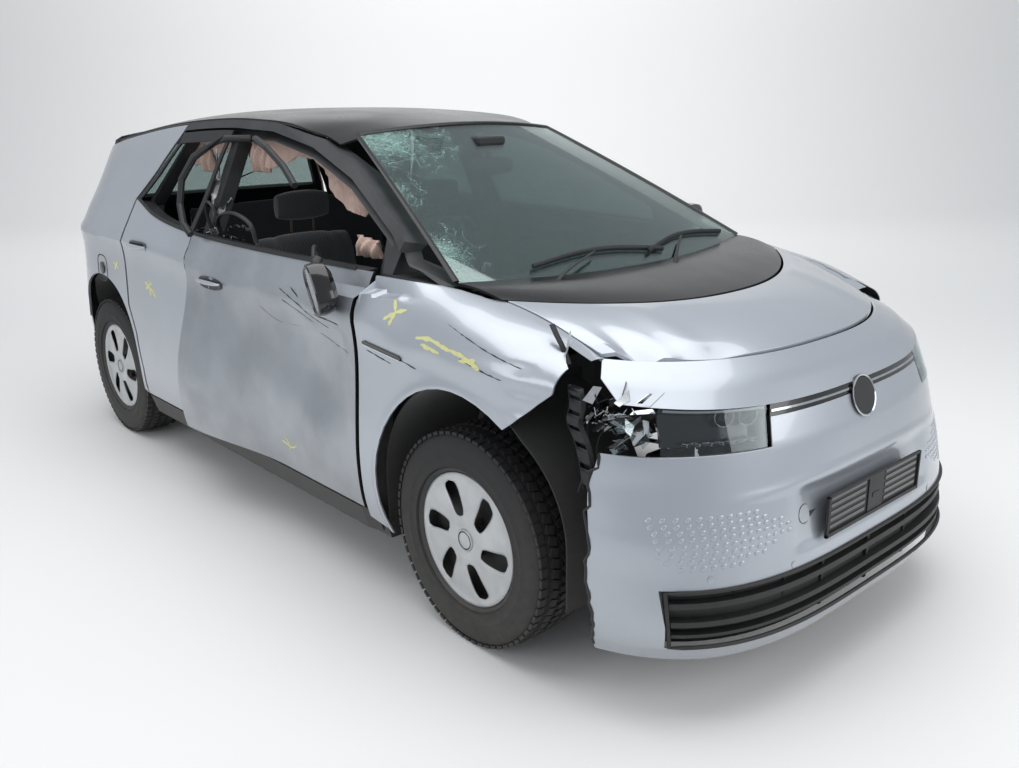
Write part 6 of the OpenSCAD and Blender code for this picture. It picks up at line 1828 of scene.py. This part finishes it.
def makeMarks():
    # wax strokes on the panels: boxes, arrows and a cross, each a thin broken band
    strokes = {
        "wing": [
            [(975, 1052), (1000, 1010), (985, 968)], [(1000, 1010), (1042, 1022)], [(1000, 1010), (955, 985)],
            [(1120, 955), (1190, 962), (1262, 948), (1340, 940), (1418, 915)], [(1150, 940), (1240, 930)], [(1330, 925), (1400, 938)],
        ],
        "rear": [[(-930, 858), (-860, 830), (-812, 800)], [(-925, 822), (-850, 862)], [(-870, 800), (-880, 870)]],
        "quarter": [[(-1300, 905), (-1240, 880)], [(-1290, 870), (-1245, 912)]],
    }
    for label, lines in strokes.items():
        for n, line in enumerate(lines):
            ribbon("waxMark" + label.capitalize() + str(n), densify(line, 9), 12, 0.5, waxChalk, -1, lift=0.3, rough=0.4, slot="silver_paint")
    for n, line in enumerate(([(260, 408), (330, 396), (372, 412)], [(300, 432), (318, 380)])):
        ribbon("waxMarkDoor" + str(n), densify(line, 9), 7, 0.5, waxChalk, -1, lift=0.4, hurt=True, rough=0.4, slot="silver_paint")
    for n, line in enumerate((
        [(330, 1000), (470, 955), (615, 898)], [(350, 962), (520, 905)], [(402, 1010), (455, 985)], [(500, 880), (660, 838), (742, 835)],
        [(560, 940), (702, 925)], [(150, 905), (300, 872), (420, 868)],
    )):
        ribbon("doorScrape" + str(n), densify(line, 12), 2.6 + n % 3, 0.5, tornSteel if n % 2 else primerSteel, -1, lift=0.25, hurt=True, rough=0.8, slot="silver_paint")
    for n, line in enumerate(([(850, 900), (1000, 880), (1120, 858)], [(860, 870), (990, 850)], [(1240, 1010), (1420, 968), (1560, 940)], [(1330, 930), (1500, 900)])):
        ribbon("wingScrape" + str(n), densify(line, 12), 2.4 + n % 2, 0.5, primerSteel, -1, lift=0.25, rough=0.8, slot="silver_paint")


makeMarks()


def makeWingTrim(side, label):  # bright blade low on the wing, behind the arch
    route = [(x, 894 - 0.09 * (x - 843)) for x in np.linspace(843, 1049, 24)]
    ribbon("wingBlade" + label, route, 15, 4.5, glossPlastic, side, lift=0.2, slot="black_plastic")
    ribbon("wingBladeEdge" + label, [(x, z - 6) for x, z in route], 3.5, 5.8, chromeFilm, side, lift=0.4, slot="black_plastic")


makeWingTrim(1, "Left")
makeWingTrim(-1, "Right")


def makeChargePort():
    # the flap's opening on the right quarter: a dark rounded cup with its socket
    centre, out = Vector(onSide(-1452, 858, -1)), sideNormal(-1452, 858, -1)
    run = (Vector((1, 0, 0)) - out * out.x).normalized()
    up = out.cross(run)
    verts, faces = [], []
    profile = [(1.0, 1.2), (0.94, 1.6), (0.90, 0.6), (0.88, -30), (0.01, -30)]
    for share, lift in profile:
        for k in range(40):
            a = 2 * math.pi * k / 40
            c, s = (math.copysign(abs(f) ** 0.6, f) for f in (math.cos(a), math.sin(a)))
            verts.append(centre + run * (62 * share * c) + up * (66 * share * s) + out * max(lift, -3))
    for i in range(len(profile) - 1):
        for k in range(40):
            m = (k + 1) % 40
            faces.append((40 * i + k, 40 * i + m, 40 * i + 40 + m, 40 * i + 40 + k))
    weld(place("chargePortCup", verts, faces, blackPlastic, slot="black_plastic", smooth=40).data, 1e-6, False)
    socket = [centre + out * d for d in (-2, 5, 6)]
    tube("chargeSocket", socket, [30, 30, 26], glossPlastic, sides=28, slot="black_plastic")


makeChargePort()


def makeTorn():
    # right door frame: torn silver sheet of the middle pillar, bent rods of the window frame
    y = -float(sideY(-430, 1200))
    sheets = [
        ([(-452, y + 34, 1105), (-446, y + 40, 1180), (-462, y + 62, 1268), (-498, y + 104, 1362), (-540, y + 128, 1440)], 42, tornSteel),
        ([(-395, y + 30, 1102), (-372, y + 22, 1160), (-330, y + 30, 1218), (-262, y + 44, 1262)], 30, tornSteel),
        ([(-300, y + 26, 1104), (-250, y + 10, 1140), (-170, y + 14, 1162), (-80, y + 24, 1150)], 22, primerSteel),
    ]
    for n, (route, width, material) in enumerate(sheets):
        path = smoothPath(route, 22)
        outer, rng = [], random.Random(60 + n)
        for i, p in enumerate(path):
            wide = width * (1 - 0.25 * math.sin(i * 0.9)) * mix(1.0, 0.55, i / 21)
            outer.append([(p[0] + wide * a, p[1] + 10 * math.sin(3 * a + i * 0.5), p[2] + 6 * math.sin(2.1 * i + 4 * a)) for a in np.linspace(-0.5, 0.5, 7)])
        outer = np.array(outer) + np.array([0, 0, rng.uniform(-2, 2)])
        soften(shell("pillarSheet" + str(n), outer, outer + np.array([0, 2.2, 0]), material, slot="black_plastic", smooth=25), 0.0005)
    rods = [
        [(-330, y + 20, 1112), (-318, y - 2, 1165), (-250, y - 14, 1205), (-150, y - 6, 1216), (-60, y + 10, 1180), (-35, y + 16, 1112)],
        [(-425, y + 26, 1108), (-430, y + 8, 1190), (-395, y - 4, 1245), (-352, y + 6, 1212), (-345, y + 22, 1112)],
    ]
    for n, rod in enumerate(rods):
        tube("bentRail" + str(n), smoothPath(rod, 44), 10 - 2 * n, blackPlastic, sides=10, flat=0.55, slot="black_plastic")
    splinters("pillarBits", (-420, y + 18, 1118), (60, 16, 14), 14, 16, tornSteel, 33, "black_plastic")
    splinters("sillBits", (-300, y + 22, 1108), (170, 14, 6), 20, 10, lampLens, 35, "clear_glass")


makeTorn()


def makeSprings():  # coil springs round the heads of the front struts, above the tyres
    for label, x, y, low, high, radius in (
        ("FrontLeft", 1300, 608, 716, 818, 62), ("FrontRight", 1300, -608, 716, 818, 62),
    ):
        turns = 3
        path = []
        for t in np.linspace(0, 1, turns * 22):
            a = 2 * math.pi * turns * t
            lean = mix(0, -18, t) * (1 if y > 0 else -1)
            path.append((x + radius * math.cos(a), y + lean + radius * math.sin(a), mix(low, high, t)))
        tube("coilSpring" + label, path, 6.5, springSteel, sides=8, slot="iron")


makeSprings()


def makeSills():  # dark cladding along the sills under the doors
    for label, side in (("Left", 1), ("Right", -1)):
        route = [(x, 262) for x in np.linspace(-1030, 860, 60)]
        ribbon("sillCladding" + label, route, 70, 4, blackPlastic, side, lift=-7.0, slot="black_plastic", taper=False)


makeSills()


def makeTailDetails():
    # red light bar over the lid with darker chambers behind, blank plate recess, handle, rear wiper
    for n, (k, wide, material) in enumerate(((7.02, 9, lampRed), (6.86, 4, glossPlastic))):
        path = [Vector(gatePoint(k, s)) + Vector((-2.5, 0, 0)) for s in np.linspace(-0.86, 0.86, 60)]
        tube("tailBar" + str(n), path, wide, material, "tail_lid", sides=8, flat=0.45, slot="lamp_red" if material is lampRed else "black_plastic")
    for n, (low, high, wide, proud, material) in enumerate(((742, 862, 268, 1.5, blackPlastic), (758, 846, 250, 3.5, glossPlastic))):
        grid = []
        for s in np.linspace(-wide, wide, 25):
            line = []
            for z in np.linspace(low, high, 7):
                k = float(np.interp(z, [712, 860, 1000], [9, 8, 7]))
                g = gatePoint(k, s / float(np.interp(k, [7, 8, 9], [690, 640, 600])))
                line.append((g[0] - proud, s, z))
            grid.append(line)
        grid = np.array(grid)
        soften(shell("plateField" + str(n), grid, grid + np.array([3, 0, 0]), material, body="tail_lid", slot="black_plastic"), 0.001)
    arm = [Vector(gatePoint(mix(5.0, 4.35, t), 0.02 + 0.42 * t)) + Vector((-14, 0, 4)) for t in np.linspace(0, 1, 20)]
    tube("rearWiperArm", arm, [11 - 0.35 * i for i in range(20)], blackPlastic, "tail_lid", sides=8, flat=0.6, slot="black_plastic")
    disc = Vector(gatePoint(6.45, 0.0))
    tube("tailDisc", [disc + Vector((4, 0, 0)), disc + Vector((-4, 0, 0)), disc + Vector((-5.5, 0, 0))], [34, 34, 30], glossPlastic, "tail_lid", sides=40, slot="black_plastic")


makeTailDetails()
print("marks, scars and small parts made")


print("all pieces made")
